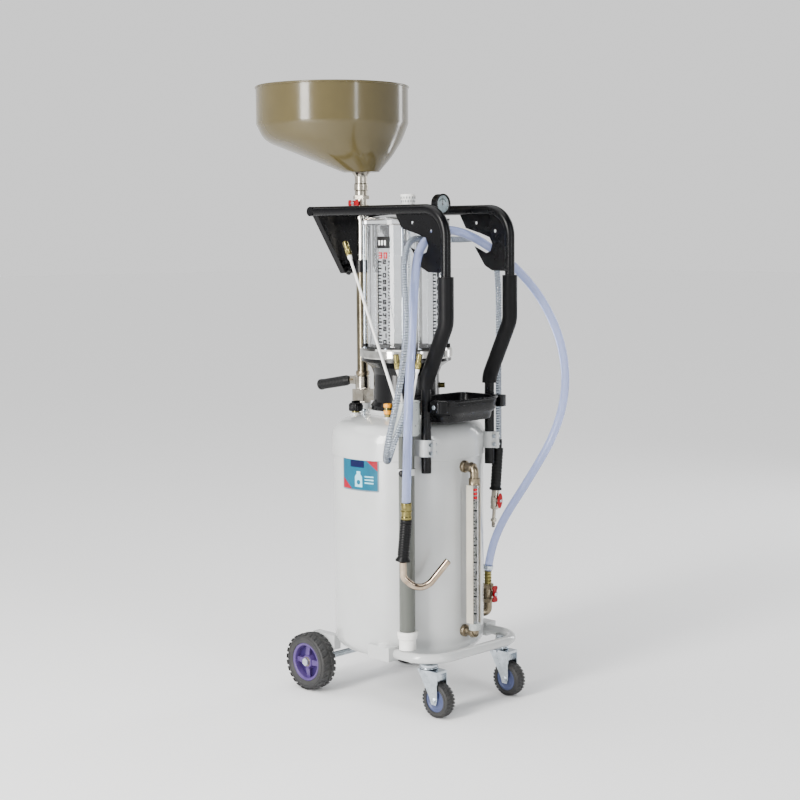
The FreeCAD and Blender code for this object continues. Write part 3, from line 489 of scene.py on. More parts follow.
# ---- hoses ----------------------------------------------------------------------
DISCHARGE_D = 0.022
SUCTION_D = 0.015
DISCHARGE_ROUTE = [
    (0.188, -0.110, 0.305), (0.191, -0.116, 0.356), (0.208, -0.142, 0.440), (0.252, -0.204, 0.560),
    (0.286, -0.262, 0.680), (0.294, -0.292, 0.800), (0.272, -0.292, 0.922), (0.228, -0.262, 1.034),
    (0.176, -0.214, 1.116), (0.118, -0.170, 1.171), (0.060, -0.150, 1.200), (0.000, -0.145, 1.211),
    (-0.062, -0.151, 1.201), (-0.118, -0.167, 1.174), (-0.148, -0.177, 1.138), (-0.168, -0.189, 1.078),
    (-0.186, -0.199, 0.990), (-0.202, -0.206, 0.885), (-0.210, -0.207, 0.780), (-0.208, -0.201, 0.680),
    (-0.203, -0.193, 0.605), (-0.198, -0.186, 0.545),
]
SUCTION_ROUTE = [
    (-0.071, -0.083, 0.845), (-0.109, -0.117, 0.852), (-0.150, -0.151, 0.846), (-0.183, -0.179, 0.820),
    (-0.199, -0.187, 0.776), (-0.206, -0.175, 0.736), (-0.213, -0.162, 0.696), (-0.230, -0.164, 0.664),
    (-0.257, -0.181, 0.650), (-0.284, -0.202, 0.664), (-0.294, -0.219, 0.700), (-0.288, -0.231, 0.757),
    (-0.268, -0.235, 0.835), (-0.242, -0.229, 0.930), (-0.222, -0.214, 1.012), (-0.208, -0.193, 1.080),
    (-0.190, -0.174, 1.136), (-0.157, -0.156, 1.177), (-0.118, -0.145, 1.190), (-0.060, -0.124, 1.184),
    (0.000, -0.117, 1.187), (0.060, -0.124, 1.184), (0.118, -0.143, 1.188), (0.150, -0.159, 1.163),
    (0.157, -0.173, 1.104), (0.154, -0.179, 0.970), (0.153, -0.178, 0.820), (0.153, -0.179, 0.668),
]


def spline(name, route, radius):
    """A smooth NURBS line whose control points are the route."""
    data = bpy.data.curves.new(name, "CURVE")
    data.dimensions = "3D"
    data.resolution_u = 10
    data.bevel_depth = radius
    data.bevel_resolution = 6
    line = data.splines.new("NURBS")
    line.points.add(len(route) - 1)
    for point, place in zip(line.points, route):
        point.co = (*(Vector(place) + SHIFT), 1.0)
    line.order_u = 3
    line.use_endpoint_u = True
    return placed(name, data)


def line_points(route):
    """Points along the route's NURBS line, in build coordinates, with their length."""
    thin = spline("line", route, 0.0)
    mesh = bpy.data.meshes.new_from_object(thin)
    points = np.array([v.co for v in mesh.vertices]) - np.array(SHIFT)
    bpy.data.objects.remove(thin)
    bpy.data.meshes.remove(mesh)
    steps = np.linalg.norm(np.diff(points, axis=0), axis=1)
    return points, float(steps.sum())


def hose(name, route, diameter, finish, node):
    return register(spline(name, route, diameter / 2), finish, "chassis", node)


# ---- wheels ---------------------------------------------------------------------
TURN_TO_X = Matrix.Rotation(math.pi / 2, 4, "Y")


def toothed_ring(outer, lug_height, count, lean, lug_inner, lug_outer):
    """Tread lugs about Z in two rows, each leaning along the ring."""
    lugs = []
    pitch = 2 * math.pi / count
    width, sink, droop = 0.68 * pitch, 0.0015, 0.0022
    for row in (-1, 1):
        for k in range(count):
            near = pitch * (k + (0.5 if row > 0 else 0.0))
            far = near + lean * pitch
            rings = []
            for reach, edge, flare in ((outer - sink, outer - sink, 0.04 * pitch),
                                       (outer + lug_height, outer + lug_height - droop, -0.04 * pitch)):
                corners = ((near - flare, lug_inner, reach), (near + width + flare, lug_inner, reach),
                           (far + width + flare, lug_outer, edge), (far - flare, lug_outer, edge))
                rings.append([(r * math.cos(t), r * math.sin(t), row * across) for t, across, r in corners])
            lugs.append(stack(rings))
    return joined(*lugs)


def tyre(outer, half, seat, lug_height, count, lug_inner):
    """Rounded tyre casing with a row of lugs along each edge."""
    base = outer - lug_height
    casing = mirrored([(seat, half * 0.86), (base - 0.014, half), (base - 0.003, half * 0.9),
                       (base, half * 0.6)])
    casing = soften(casing, [0.002, 0.008, 0.006, 0.01, 0.01, 0.006, 0.008, 0.002], steps=5)
    rib = turned([(base - 0.011, half * 0.985), (base - 0.009, half + 0.0006),
                  (base - 0.0075, half * 0.96)], 96)
    lugs = toothed_ring(base, lug_height, count, 0.45, lug_inner, half * 0.97)
    return joined(turned(casing, 120), lugs, rib, moved(rib, Matrix.Scale(-1, 4, (0, 0, 1))))


def spoke(inner, outer, half_width, half_depth, turn):
    ends = ((inner, half_width * 1.25, half_depth), (outer, half_width, half_depth * 0.7))
    blade = stack([[(reach, -w, -d), (reach, w, -d), (reach, w, d), (reach, -w, d)]
                   for reach, w, d in ends])
    return moved(blade, Matrix.Rotation(turn, 4, "Z"))


def rear_wheel(word):
    centre, half = middle("rear_tyre_" + word)
    body, seat = "rear_wheel_" + word, 50
    place = Matrix.Translation(centre) @ TURN_TO_X
    piece(body + "_tyre", moved(tyre(half.z, half.x, seat * MM, 0.0026, 26, 0.005), place), "tyre", body,
          "rear_tyre_" + word, bevel=0.0006)
    rim = lathe([(43, -18, 3), (seat, -20, 2), (seat, 20, 2), (43, 18, 3), (41.5, 4, 1), (41.5, -4, 1)],
                96, True)
    boss = turned(soften(mirrored([(0.0085, 0.0155), (0.0165, 0.0155), (0.0195, 0.004)]), 0.0015), 64)
    spokes = [spoke(0.0175, 0.0435, 0.0062, 0.0135, k * math.pi / 2) for k in range(4)]
    piece(body + "_hub", moved(joined(rim, boss, *spokes), place), "violet", body, "rear_hub_" + word,
          bevel=0.0008)
    # The web between the spokes is the floor of the hub's pockets; its darker violet is painted shade.
    piece(body + "_web_painted_shade", moved(collar(18, 43, -2.2, 2.2, 0, 72), place), "violet pocket shade", body)
    piece(body + "_sleeve", moved(collar(8.2, 12.5, -16.5, 16.5, 0.8), place), "bronze", body)


def caster(word):
    centre, half = middle("caster_tyre_" + word)
    swivel, body, seat = "caster_swivel_" + word, "caster_wheel_" + word, 0.030
    place = Matrix.Translation(centre) @ TURN_TO_X
    piece(body + "_tyre", moved(tyre(half.z, half.x, seat, 0.0020, 28, 0.004), place), "tyre", body,
          "caster_tyre_" + word, bevel=0.0005)
    disc = mirrored([(0.0042, 0.0146), (0.010, 0.0146), (0.0125, 0.0118), (0.022, 0.0105), (0.0255, 0.0128),
                     (seat, 0.0128)])
    piece(body + "_disc", moved(turned(soften(disc, 0.0016), 80), place), "slate", body,
          "caster_hub_" + word)
    low, high = bounds_of("caster_fork_" + word)
    bolt = joined(hexagon(0.013, -0.0056, -0.0008), collar(0, 8.8, -7.5, -5.8, 0.4, 40))
    for side, end, name in ((-1, low.x, "in"), (1, high.x, "out")):
        turn = Matrix.Translation((end, centre.y, centre.z)) @ Matrix.Rotation(side * math.pi / 2, 4, "Y")
        piece(swivel + "_bolt_" + name, moved(bolt, turn), "zinc", swivel, bevel=0.0006)
    race = lathe([(16.5, 119), (23.5, 120.5, 1), (24.5, 122.5, 1), (23.5, 124.5, 1), (16.5, 125.5)],
                 64, True)
    piece(swivel + "_race", shifted(race, centre.x, high.y - 0.024), "zinc", swivel)


# ---- tank and base ----------------------------------------------------------------
TANK_LAP, SHELL_R, BOSS_R, BOSS_Z = 0.636, 0.196, 0.101, 0.7385
VENT_SCREW, RELIEF_CAP = (-0.102, 0.060, 0.7335), (-0.110, -0.035, 0.7445)
OUTLET_X, OUTLET_Y, OUTLET_PIPE_Z, PIPE_START_R = 0.188, -0.110, 0.192, 0.190


def weld_bead(points, radius, seed):
    """A rippled weld bead round a closed line."""
    maker = random.Random(seed)
    sizes = [radius * (0.86 + 0.28 * maker.random()) for _ in points]
    return tube(list(points) + [points[0]], sizes + [sizes[0]], 8)


def circle(radius, z, x=0.0, y=0.0, count=160):
    return [(px, py, z) for px, py in disc_outline(x, y, radius, count)]


def disc_outline(x, y, radius, count=20):
    return [(x + radius * math.cos(t), y + radius * math.sin(t)) for t in turns(count)]


def outlet_weld(radius):
    """Circle on the tank's shell where the outlet elbow leaves it."""
    ahead = Vector((OUTLET_X, OUTLET_Y, 0)).normalized()
    side = Vector((-ahead.y, ahead.x, 0))
    spot = ahead * (SHELL_R + 0.0002) + Vector((0, 0, OUTLET_PIPE_Z))
    return [tuple(spot + side * u + Vector((0, 0, v))) for u, v in disc_outline(0, 0, radius, 40)]


def tank_details():
    lap = weld_bead(circle(SHELL_R + 0.0012, TANK_LAP - 0.0005, count=420), 0.0019, 3)
    boss = weld_bead(circle(BOSS_R, BOSS_Z, 0, middle("bowl_pedestal")[0].y, 260), 0.0022, 5)
    outlet_bead = weld_bead(outlet_weld(0.0115), 0.0016, 7)
    piece("tank_welds", joined(lap, boss, outlet_bead), "cream", smooth=180)
    screw = lathe([(0, 0), (5.5, 0, 0.5), (5.5, 4, 0.8), (2.8, 5, 0.8), (2.8, 8, 1), (5.2, 10.5, 2),
                   (5.5, 14, 2), (3, 17.2, 2), (0, 17.6)], 40)
    piece("vent_screw", shifted(screw, *VENT_SCREW), "zinc")


LABEL_TURN, LABEL_WIDE, LABEL_LOW, LABEL_HIGH = math.radians(184.5), 0.122, 0.555, 0.639


def label():
    """Information plate on the tank's left side: colour fields and a bottle sign, no words."""
    half, low, high = LABEL_WIDE / 2, LABEL_LOW, LABEL_HIGH
    rim, corner = 0.0035, 0.034
    left, right, foot, head = -half + rim, half - rim, low + rim, high - rim

    def plate(name, outlines, finish, level):
        part = wrapped(outlines, SHELL_R + 0.0003 + level * 0.0002, 0.0003, LABEL_TURN)
        piece("label_" + name, part, finish)

    plate("edge", [soften(rectangle(-half, half, low, high), 0.004)], "slate edge", 0)
    plate("field", [soften(rectangle(left, right, foot, head), 0.003)], "teal", 1)
    plate("corners", [[(right - corner, head), (right, head - corner * 0.8), (right, head)],
                      [(left, foot), (left + corner, foot), (left, foot + corner * 0.8)]], "crimson", 2)
    plate("block", [rectangle(-0.028, 0.018, high - 0.024, high - 0.007)], "navy", 3)
    bottle = [(0.012, 0.010), (0.012, 0.036), (0.006, 0.043), (0.006, 0.050)]
    bottle = [(-0.012, 0.010)] + bottle + [(-x, z) for x, z in reversed(bottle[1:])]
    marks = [[(x, low + z) for x, z in bottle]]
    marks += [rectangle(0.020, 0.046, low + z, low + z + 0.0035) for z in (0.020, 0.028, 0.036)]
    plate("marks", marks, "pale", 3)
    plate("drop", [disc_outline(0.0, low + 0.022, 0.006)], "teal", 4)


# ---- measuring bowl ---------------------------------------------------------------
STRIP_TURNS = [math.radians(190), math.radians(278)]
FIGURES = ["abcdef", "bc", "abged", "abgcd", "fgbc", "afgcd", "afgedc", "abc", "abcdefg", "abcdfg"]


def digit_bars(value, x, y, wide, tall):
    """A plain seven-bar figure as small rectangles."""
    bar, right, top, waist = wide * 0.32, x + wide, y + tall, y + tall / 2
    spots = {"a": (x, right, top - bar, top), "d": (x, right, y, y + bar),
             "g": (x, right, waist - bar / 2, waist + bar / 2), "b": (right - bar, right, waist, top),
             "c": (right - bar, right, y, waist), "f": (x, x + bar, waist, top),
             "e": (x, x + bar, y, waist)}
    return [rectangle(*spots[name]) for name in FIGURES[value]]


def bowl_strips():
    """Two printed strips on the clear cylinder, with a ladder of bold marks on each."""
    centre, size = middle("bowl_cylinder")
    half, rungs, foot = 0.016, 24, centre.z - size.z + 0.018
    pitch = 0.204 / rungs
    crown = foot + 0.204

    def lay(name, outlines, finish, turn, level=0):
        part = wrapped(outlines, size.x + 0.0002 + level * 0.0002, 0.0003, turn, BOWL_Y)
        piece("scale_" + name, part, finish, slot="black_plastic")

    for word, turn in zip("ab", STRIP_TURNS):
        marks = [rectangle(-half - 0.002, -half, foot - 0.003, crown + 0.003)]
        for k in range(rungs + 1):
            z = foot + pitch * k
            long, inset, thick = (0.008, 0.003, 0.0014) if k % 2 else (0.011, 0.002, 0.0021)
            marks.append(rectangle(-half, -half + long, z - thick, z + thick))
            if k % 2 == 0:
                marks += digit_bars(k // 2 % 10, -half + 0.014, z - 0.006, 0.0105, 0.012)
            marks.append(rectangle(half - inset, half + 0.003, z - thick, z + thick))
        lay("ticks_" + word, marks, "ink", turn)
        red = digit_bars(3, -half + 0.002, crown + 0.008, 0.011, 0.016)
        red += digit_bars(0, -half + 0.017, crown + 0.008, 0.011, 0.016)
        lay("red_" + word, red, "pink", turn)
    top, turn = crown + 0.034, STRIP_TURNS[0]
    lay("head", [rectangle(-half - 0.004, half + 0.004, top, top + 0.030)], "ink", turn)
    lay("head_marks", [rectangle(x - half, x - half + 0.005, top + 0.008, top + 0.020)
                       for x in (0.001, 0.010, 0.019)], "white", turn, 1)


def bowl_glass():
    """The clear cylinder, with moulded flutes down its inside that break up what shows through."""
    low, high = bounds_of("bowl_cylinder")
    radius, wall, flutes, lap = (high.x - low.x) / 2, 0.004, 18, 0.0003
    around = turns(288)
    inside = [radius - wall - 0.0016 * abs(math.sin(flutes / 2 * t)) ** 0.6 for t in around]
    rings = [[(r * math.cos(t), BOWL_Y + r * math.sin(t), z) for t, r in zip(around, reach)]
             for z, reach in ((low.z + lap, [radius] * 288), (high.z - lap, [radius] * 288),
                              (high.z - lap, inside), (low.z + lap, inside))]
    piece("bowl_glass", stack(rings + [rings[0]], caps=False), "clear", node="bowl_cylinder", smooth=30)


def bowl_details():
    low, high = bounds_of("bowl_cylinder")
    lid, flange = bounds_of("bowl_lid")[0].z, bounds_of("bowl_flange")[1].z
    radius = (high.x - low.x) / 2 / MM
    # A dark ring round the foot of the clear cylinder: painted shade in its joint with the flange.
    joint_shade = collar(radius - 6, radius + 2.2, -1.6, 1.6, 0.9, 96)
    piece("bowl_joint_shade", shifted(joint_shade, 0, BOWL_Y, low.z + 0.0012), "dark")
    nuts = []
    for x, y in spread(4, 0.1075, 40):
        nuts += [nut(0.013, low.z, low.z + 0.009, x, y), nut(0.012, lid + 0.0095, lid + 0.0155, x, y)]
    piece("tie_rod_nuts", joined(*nuts), "ink", bevel=0.0006)
    head = lathe([(0, 0), (5, 0, 0.4), (4.6, 3, 1), (0, 3.6)], 24)
    screws = [shifted(head, x, y, flange) for x, y in spread(8, 0.112, 17)]
    piece("flange_screws", joined(*screws), "zinc")
    foot = low.z - 0.02
    dip = joined(rod((0.0, BOWL_Y, foot), (0.0, BOWL_Y, lid - 0.002), 0.0065),
                 rod((0.034, BOWL_Y - 0.02, foot), (0.034, BOWL_Y - 0.02, lid - 0.04), 0.0045))
    piece("bowl_dip_tubes", dip, "bright")


def spread(count, reach, first):
    """Places evenly round the bowl, the first at an angle in degrees."""
    angles = [math.radians(first + 360 / count * k) for k in range(count)]
    return [(reach * math.cos(t), BOWL_Y + reach * math.sin(t)) for t in angles]


def silencer():
    centre, half = middle("silencer")
    foot, wide, tall = centre.z - half.z, half.x / MM, 2 * half.z / MM
    body = lathe([(0, 0), (7.8, 0, 1), (7.8, 13, 2), (13.5, 16.5, 2), (14.5, 22, 2), (wide * 0.86, 30, 3),
                  (wide, tall - 6, 2), (wide - 1, tall - 1, 2), (0, tall)], 72)
    piece("silencer_body", shifted(body, centre.x, centre.y, foot), "white", node="silencer")
    # The vent slots are grey blocks flush with the white body: painted shade standing in for the openings.
    slot = brick((-0.0006, -0.0014, -0.0028), (0.0006, 0.0014, 0.0028))
    marks = [moved(slot, Matrix.Rotation(2 * math.pi * (k + row * 0.5) / 16, 4, "Z")
                   @ Matrix.Translation((half.x * share, 0, z)))
             for row, (z, share) in enumerate(((0.034, 0.895), (0.043, 0.955))) for k in range(16)]
    piece("silencer_slots", shifted(joined(*marks), centre.x, centre.y, foot), "painted slot shade", bevel=0.0003)


def gauge():
    """Bezel, dial, marks and lens of the vacuum gauge; the needle's own node turns behind the lens."""
    low, high = bounds_of("vacuum_gauge")
    radius = (high.x - low.x) / 2
    x, z, front = (low.x + high.x) / 2, high.z - radius, low.y
    face = Matrix.Translation((x, front, z)) @ Matrix.Rotation(math.pi / 2, 4, "X")
    edge = radius / MM
    bezel = lathe([(edge - 4.5, -4), (edge + 0.8, -4, 0.8), (edge + 0.8, -0.4, 1), (edge - 1, 0.4, 0.8),
                   (edge - 3.5, 0, 0.5)], 80, True)
    piece("gauge_bezel", moved(bezel, face), "casting")
    back = front - bounds_of("gauge_needle")[1].y + 0.0003
    dial = radius - 0.0031
    disc = collar(1.2, dial / MM, back / MM - 0.3, back / MM, 0, 80)
    piece("gauge_dial", moved(disc, face), "dial")

    def arc(inner, outer, start, end, thick, count):
        angles = [start + (end - start) * k / count for k in range(count + 1)]
        outline = [(outer * dial * math.cos(t), outer * dial * math.sin(t)) for t in angles]
        outline += [(inner * dial * math.cos(t), inner * dial * math.sin(t)) for t in reversed(angles)]
        return prism(outline, back, back + thick)

    piece("gauge_arc", moved(arc(0.50, 0.64, math.radians(20), math.radians(150), 0.0001, 24), face),
          "green")
    ticks = []
    for k in range(21):
        turn = math.radians(225 - 270 * k / 20)
        ticks.append(arc(0.76 if k % 5 else 0.68, 0.88, turn - 0.025, turn + 0.025, 0.00012, 2))
    piece("gauge_ticks", moved(joined(*ticks), face), "ink")
    lens = lathe([(0, -2.2), (dial / MM, -2.2, 0.2), (dial / MM, -1.4, 0.2), (0, -1)], 64)
    piece("gauge_lens", moved(lens, face), "clear")
    foot = low.z + 0.014
    piece("gauge_nut", nut(0.019, foot, foot + 0.007, x, (low.y + high.y) / 2 + 0.002), "brass",
          bevel=0.0006)


# ---- funnel and its post ------------------------------------------------------------
FUNNEL_WALL, NECK_R = 0.0016, 0.014
FUNNEL_SHELL = [(1.363, 0.048, 0.0), (1.403, 0.113, 0.045), (1.450, 0.185, 0.106), (1.494, 0.204, 0.109)]
GRATE_Z, GRATE_R, GRATE_PITCH = 1.3675, 0.040, 0.011


def funnel_rings():
    """(height, radius, offset) of the funnel's shell, with its stations eased into each other."""
    eased = soften(FUNNEL_SHELL, [0, 0.030, 0.026, 0], closed=False, steps=8)
    rings = [eased[0]]
    for ring in eased[1:]:
        last = np.array(rings[-1])
        gap = np.array(ring) - last
        pieces = max(1, round(float(np.linalg.norm(gap)) / 0.012))
        rings += [tuple(last + gap * k / pieces) for k in range(1, pieces + 1)]
    return rings


def funnel():
    low, high = bounds_of("funnel")
    shell, count = funnel_rings(), 144
    last_z, last_r, last_off = shell[-1]
    post_y = high.y - last_r - 0.002 - last_off
    rim_y, rim_z = post_y + last_off, high.z
    shell += [(z, last_r, last_off) for z in (last_z + 0.004, last_z + 0.03, last_z + 0.06, rim_z - 0.004)]
    outside = [circle(r, z, 0, post_y + off, count) for z, r, off in shell]
    inside = [circle(r - FUNNEL_WALL, z + FUNNEL_WALL, 0, post_y + off, count) for z, r, off in shell[:-1]]
    inside.append(circle(last_r - FUNNEL_WALL, rim_z - 0.004, 0, rim_y, count))
    bowl, faces = stack(outside + inside[::-1], caps=False)
    for z in (shell[0][0], shell[0][0] + FUNNEL_WALL):
        bowl += circle(NECK_R, z, 0, post_y, count)
    levels = [0, len(shell) * 2 * count, (len(shell) * 2 + 1) * count, (len(shell) * 2 - 1) * count]
    for k in range(count):
        after = (k + 1) % count
        faces += [(here + k, here + after, there + after, there + k)
                  for here, there in zip(levels, levels[1:])]
    piece("funnel_bowl", (bowl, faces), "olive", "funnel", "funnel", smooth=38)
    bead = circle(last_r - 0.0003, rim_z - 0.003, 0, rim_y, 180)
    piece("funnel_rim", tube(bead + bead[:1], 0.003, 12, caps=False), "olive", "funnel", smooth=180)
    neck = lathe([(14, 0), (16.8, 0, 0.5), (16.8, 12, 1), (18.8, 13.5, 1), (18.8, 30, 1), (16.8, 31.5, 1),
                  (16.8, 50, 3), (21, 56, 3), (26, 60.5, 0.5), (14, 60.5)], 64, True)
    piece("funnel_neck", shifted(neck, 0, post_y, low.z), "nickel", "funnel", "funnel")
    grate = []
    for x in (k * GRATE_PITCH for k in range(-3, 4)):
        reach = math.sqrt(GRATE_R ** 2 - x ** 2)
        grate.append(rod((x, post_y - reach, GRATE_Z), (x, post_y + reach, GRATE_Z), 0.0012, 12))
    grate.append(rod((-GRATE_R, post_y, GRATE_Z + 0.001), (GRATE_R, post_y, GRATE_Z + 0.001), 0.0012, 12))
    ring = circle(GRATE_R + 0.001, GRATE_Z, 0, post_y, 60)
    piece("funnel_grate", joined(tube(ring + ring[:1], 0.0016, 8, caps=False), *grate), "zinc", "funnel")


def butterfly(half, narrow, lobe):
    """Outline of a two-winged tap handle, long on its first axis."""
    corners = [(-half, -lobe * 0.7), (-half * 0.72, -lobe), (-half * 0.36, -narrow), (0, -narrow * 1.5),
               (half * 0.36, -narrow), (half * 0.72, -lobe), (half, -lobe * 0.7)]
    corners += [(x, -y) for x, y in reversed(corners)]
    return soften(corners, 0.006)


def funnel_tap():
    """Red butterfly handle on the funnel's valve."""
    (x, y, z), half = middle("funnel_valve_handle")
    face = x - half.x
    turn = Matrix.Translation((face, y, z)) @ FACING_RIGHT
    wing = joined(moved(prism(butterfly(half.y, 0.0048, 0.0088), 0.0, 0.0042), turn),
                  rod((face + 0.001, y, z), (x + half.x, y, z), 0.003))
    piece("funnel_tap_wing", wing, "red", "funnel_tap", "funnel_valve_handle", bevel=0.0009)
    piece("funnel_tap_nut", moved(hexagon(0.0095, -0.0034, 0.0006), turn), "zinc", "funnel_tap",
          bevel=0.0005)


def post_details():
    """Nuts of the valve under the post, the lip of its sleeve and the knob of its clamp."""
    foot, (sleeve_low, sleeve_high) = bounds_of("post_base")[0].z, bounds_of("post_sleeve")
    y = (sleeve_low.y + sleeve_high.y) / 2
    nuts = joined(nut(0.038, foot + 0.0005, foot + 0.0075, 0, y),
                  nut(0.037, foot + 0.0365, foot + 0.0425, 0, y))
    piece("post_valve_nuts", nuts, "nickel", bevel=0.0008)
    lip = lathe([(15.2, -12, 0.8), (17.5, -12, 0.8), (18.5, -6, 0.8), (17.5, 0, 0.8), (15.2, 0, 0.8)],
                64, True)
    piece("post_sleeve_lip", shifted(lip, 0, y, sleeve_low.z + 0.046), "bronze", slot="nickel")
    low, high = bounds_of("star_knob")
    knob_y, knob_z = high.y - 0.016, (low.z + high.z) / 2
    place = Matrix.Translation((0, knob_y, knob_z)) @ Matrix.Rotation(-math.pi / 2, 4, "X")
    rings = [lobed(80, z, lambda t: scale * (0.0165 + 0.0042 * math.cos(5 * t)))
             for z, scale in ((0.0, 0.70), (0.0015, 0.86), (0.004, 0.97), (0.009, 1.0), (0.013, 0.95),
                              (0.0155, 0.82), (0.016, 0.5))]
    stud = rod((0, low.y, knob_z), (0, knob_y + 0.002, knob_z), 0.004)
    piece("clamp_star", joined(moved(stack(rings), place), stud), "plastic", "clamp_knob", "star_knob",
          smooth=50)


PANEL_LEAN = 0.1016


def panel_bolts():
    """Lumpy hand nuts on the front of the rear panel's foot."""
    low = bounds_of("rear_panel")[0]
    head = lathe([(0, 0), (8.5, 0, 1), (9.5, 4, 2), (8.5, 10, 2), (5, 13, 2), (0, 13.5)], 32)
    nuts = [moved(head, Matrix.Translation((x, low.y + 0.0135 + lift * PANEL_LEAN, low.z + lift))
                  @ Matrix.Rotation(math.pi / 2, 4, "X"))
            for x, lift in ((-0.029, 0.010), (-0.034, 0.028), (-0.012, 0.012))]
    piece("panel_hand_nuts", joined(*nuts), "plastic")


def ribs(root, crest, start, length, count, rise=0.25, fall=0.7, foot=0.95):
    """Points of a row of ribs on the outline of a grip."""
    pitch = length / count
    return [(reach, start + pitch * (k + share)) for k in range(count)
            for reach, share in ((root, 0), (crest, rise), (crest, fall), (root, foot))]


def lever():
    """Pivot, bar and ribbed grip of the valve lever under the post."""
    start = Vector((0, 0.2185, 0.8095))
    end = Vector((0, bounds_of("valve_lever")[1].y - 0.0015, 0.789))
    long = (end - start).length
    outline = [(0, 0), (0.0085, 0), (0.0118, 0.006)] + ribs(0.0128, 0.0141, 0.013, long - 0.027, 16)
    outline += [(0.0128, long - 0.011), (0.0148, long - 0.009), (0.0148, long - 0.003), (0.012, long),
                (0, long)]
    grip = along(turned(outline, 48, closed=False), start, end)
    piece("lever_grip", grip, "rubber", "post_lever", "valve_lever", smooth=60)
    pivot = Vector((0, 0.203, 0.812))
    across = Vector((1, 0, 0))
    eye = joined(rod(pivot - across * 0.0062, pivot + across * 0.0062, 0.0072),
                 rod(pivot - across * 0.013, pivot + across * 0.013, 0.003),
                 rod(pivot, start.lerp(end, 0.05), 0.005))
    piece("lever_arm", eye, "bronze", "post_lever", "valve_lever")


# ---- tank top fittings ----------------------------------------------------------------
def caps():
    centre, half = middle("filler_cap")
    tall = 2 * half.z
    body = stack([lobed(160, z * tall, lambda t: half.x * (scale - tooth * (1 + math.cos(20 * t))))
                  for z, scale, tooth in ((0.0, 0.93, 0.025), (0.002 / tall, 0.985, 0.025),
                                          (0.55, 0.985, 0.025), (0.64, 0.96, 0.025), (0.72, 0.86, 0),
                                          (0.78, 0.82, 0))])
    bar = soften(rectangle(-0.014, 0.014, -0.004, 0.004), 0.003)
    grip = stack([[(x * s, y * s, z) for x, y in bar]
                  for z, s in ((tall * 0.76, 1.0), (tall - 0.0015, 0.95), (tall, 0.86))])
    piece("filler_cap_top", shifted(joined(body, grip), centre.x, centre.y, centre.z - half.z), "plastic",
          "filler_cap", "filler_cap", bevel=0.0004)
    steps = lathe([(0, 0), (10.2, 0, 0.6), (10.2, 9, 1), (8.6, 10.5, 1), (8.6, 16, 1), (10.6, 18, 1),
                   (10.6, 25.5, 1.2), (8.5, 26.8, 1), (0, 27.2)])
    piece("relief_cap", shifted(steps, *RELIEF_CAP), "yellow")


def tray():
    """Moulded tool tray: a tapering pan with a thick lip, and an ear to each handle foot."""
    low, high = bounds_of("tool_tray")
    ear, half, wall = high.x, 0.104, 0.0026
    top, front, back = high.z - 0.0005, low.y, high.y

    def outline(drop, side, near, far):
        """Rounded edge of the pan at a drop below its top, drawn in at its sides, front and back."""
        corners = rectangle(side - half, half - side, front + near, back - far)
        return [(x, y, top - drop) for x, y in soften(corners, [0.052, 0.052, 0.022, 0.022], steps=10)]

    stations = [(0, 0, 0, 0), (10, 0.6, 0.6, 0.6), (30, 1.6, 1.6, 1.2), (36, 5, 6, 4), (39.5, 9, 10, 12),
                (47, 12, 14, 46), (56.5, 15, 18, 54), (58.5, 21, 24, 60)]
    stations = [[value * MM for value in row] for row in stations]
    outer = [outline(*row) for row in stations]
    inner = [outline(drop - (wall if drop else 0), *(value + wall for value in sides))
             for drop, *sides in stations]
    line = outline(0.0028, 0.0006, -0.0006, -0.0006)
    lip = tube(line + line[:1], 0.0036, 14, caps=False)
    band = stack([outline(drop, grow, -grow, -grow)
                  for drop, grow in ((0.003, 0.0022), (0.013, 0.0022), (0.014, 0), (0.003, 0))], caps=False)
    ears, screws = [], []
    head = lathe([(0, 0), (6, 0, 0.4), (5.5, 3, 1), (0, 3.8)], 28)
    for side in (-1, 1):
        block = soften([(side * 0.098, front + 0.004), (side * ear, front + 0.010),
                        (side * ear, front + 0.045), (side * 0.098, front + 0.047)], 0.008)
        x, y = side * 0.111, front + 0.027
        ears.append(stack([[(x + (px - x) * scale, y + (py - y) * scale, top - drop) for px, py in block]
                           for drop, scale in ((0.029, 1), (0.0015, 1), (0, 0.9))]))
        place = Matrix.Translation((side * (ear - 0.002), front + 0.028, top - 0.015))
        screws.append(moved(head, place @ Matrix.Rotation(side * math.pi / 2, 4, "Y")))
    piece("tray_pan", joined(stack(outer[::-1] + inner), lip, band, *ears), "plastic", node="tool_tray",
          smooth=48)
    piece("tray_screws", joined(*screws), "zinc")


# ---- probes -----------------------------------------------------------------------------
BAND_KNOB_Z, BAND_KNOB_TURN = 0.614, math.radians(205)
PROBE_LINES = {
    "probe_long": ((-0.1785, -0.167, 0.7135), (-0.179, 0.044, 1.181), 4),
    "probe_medium": ((-0.1525, -0.1535, 0.640), (-0.1745, -0.130, 0.905), 3.2),
    "probe_short": ((-0.1735, -0.1515, 0.640), (-0.144, -0.183, 0.907), 3.2),
}


def knurled(inner, outer, start, end, teeth=28):
    """A knurled barrel on +Z with a bore, plain at both ends."""
    levels = ((start, outer * 0.9, 0), (start + 0.0012, outer, 0), (start + 0.0035, outer, 0),
              (start + 0.0042, outer, 0.0003), (end - 0.0042, outer, 0.0003), (end - 0.0035, outer, 0),
              (end - 0.0012, outer, 0), (end, outer * 0.9, 0), (end, inner, 0), (end - 0.008, inner, 0))
    return stack([lobed(teeth * 4, z, lambda t: reach - depth * (1 + math.cos(teeth * t)))
                  for z, reach, depth in levels])


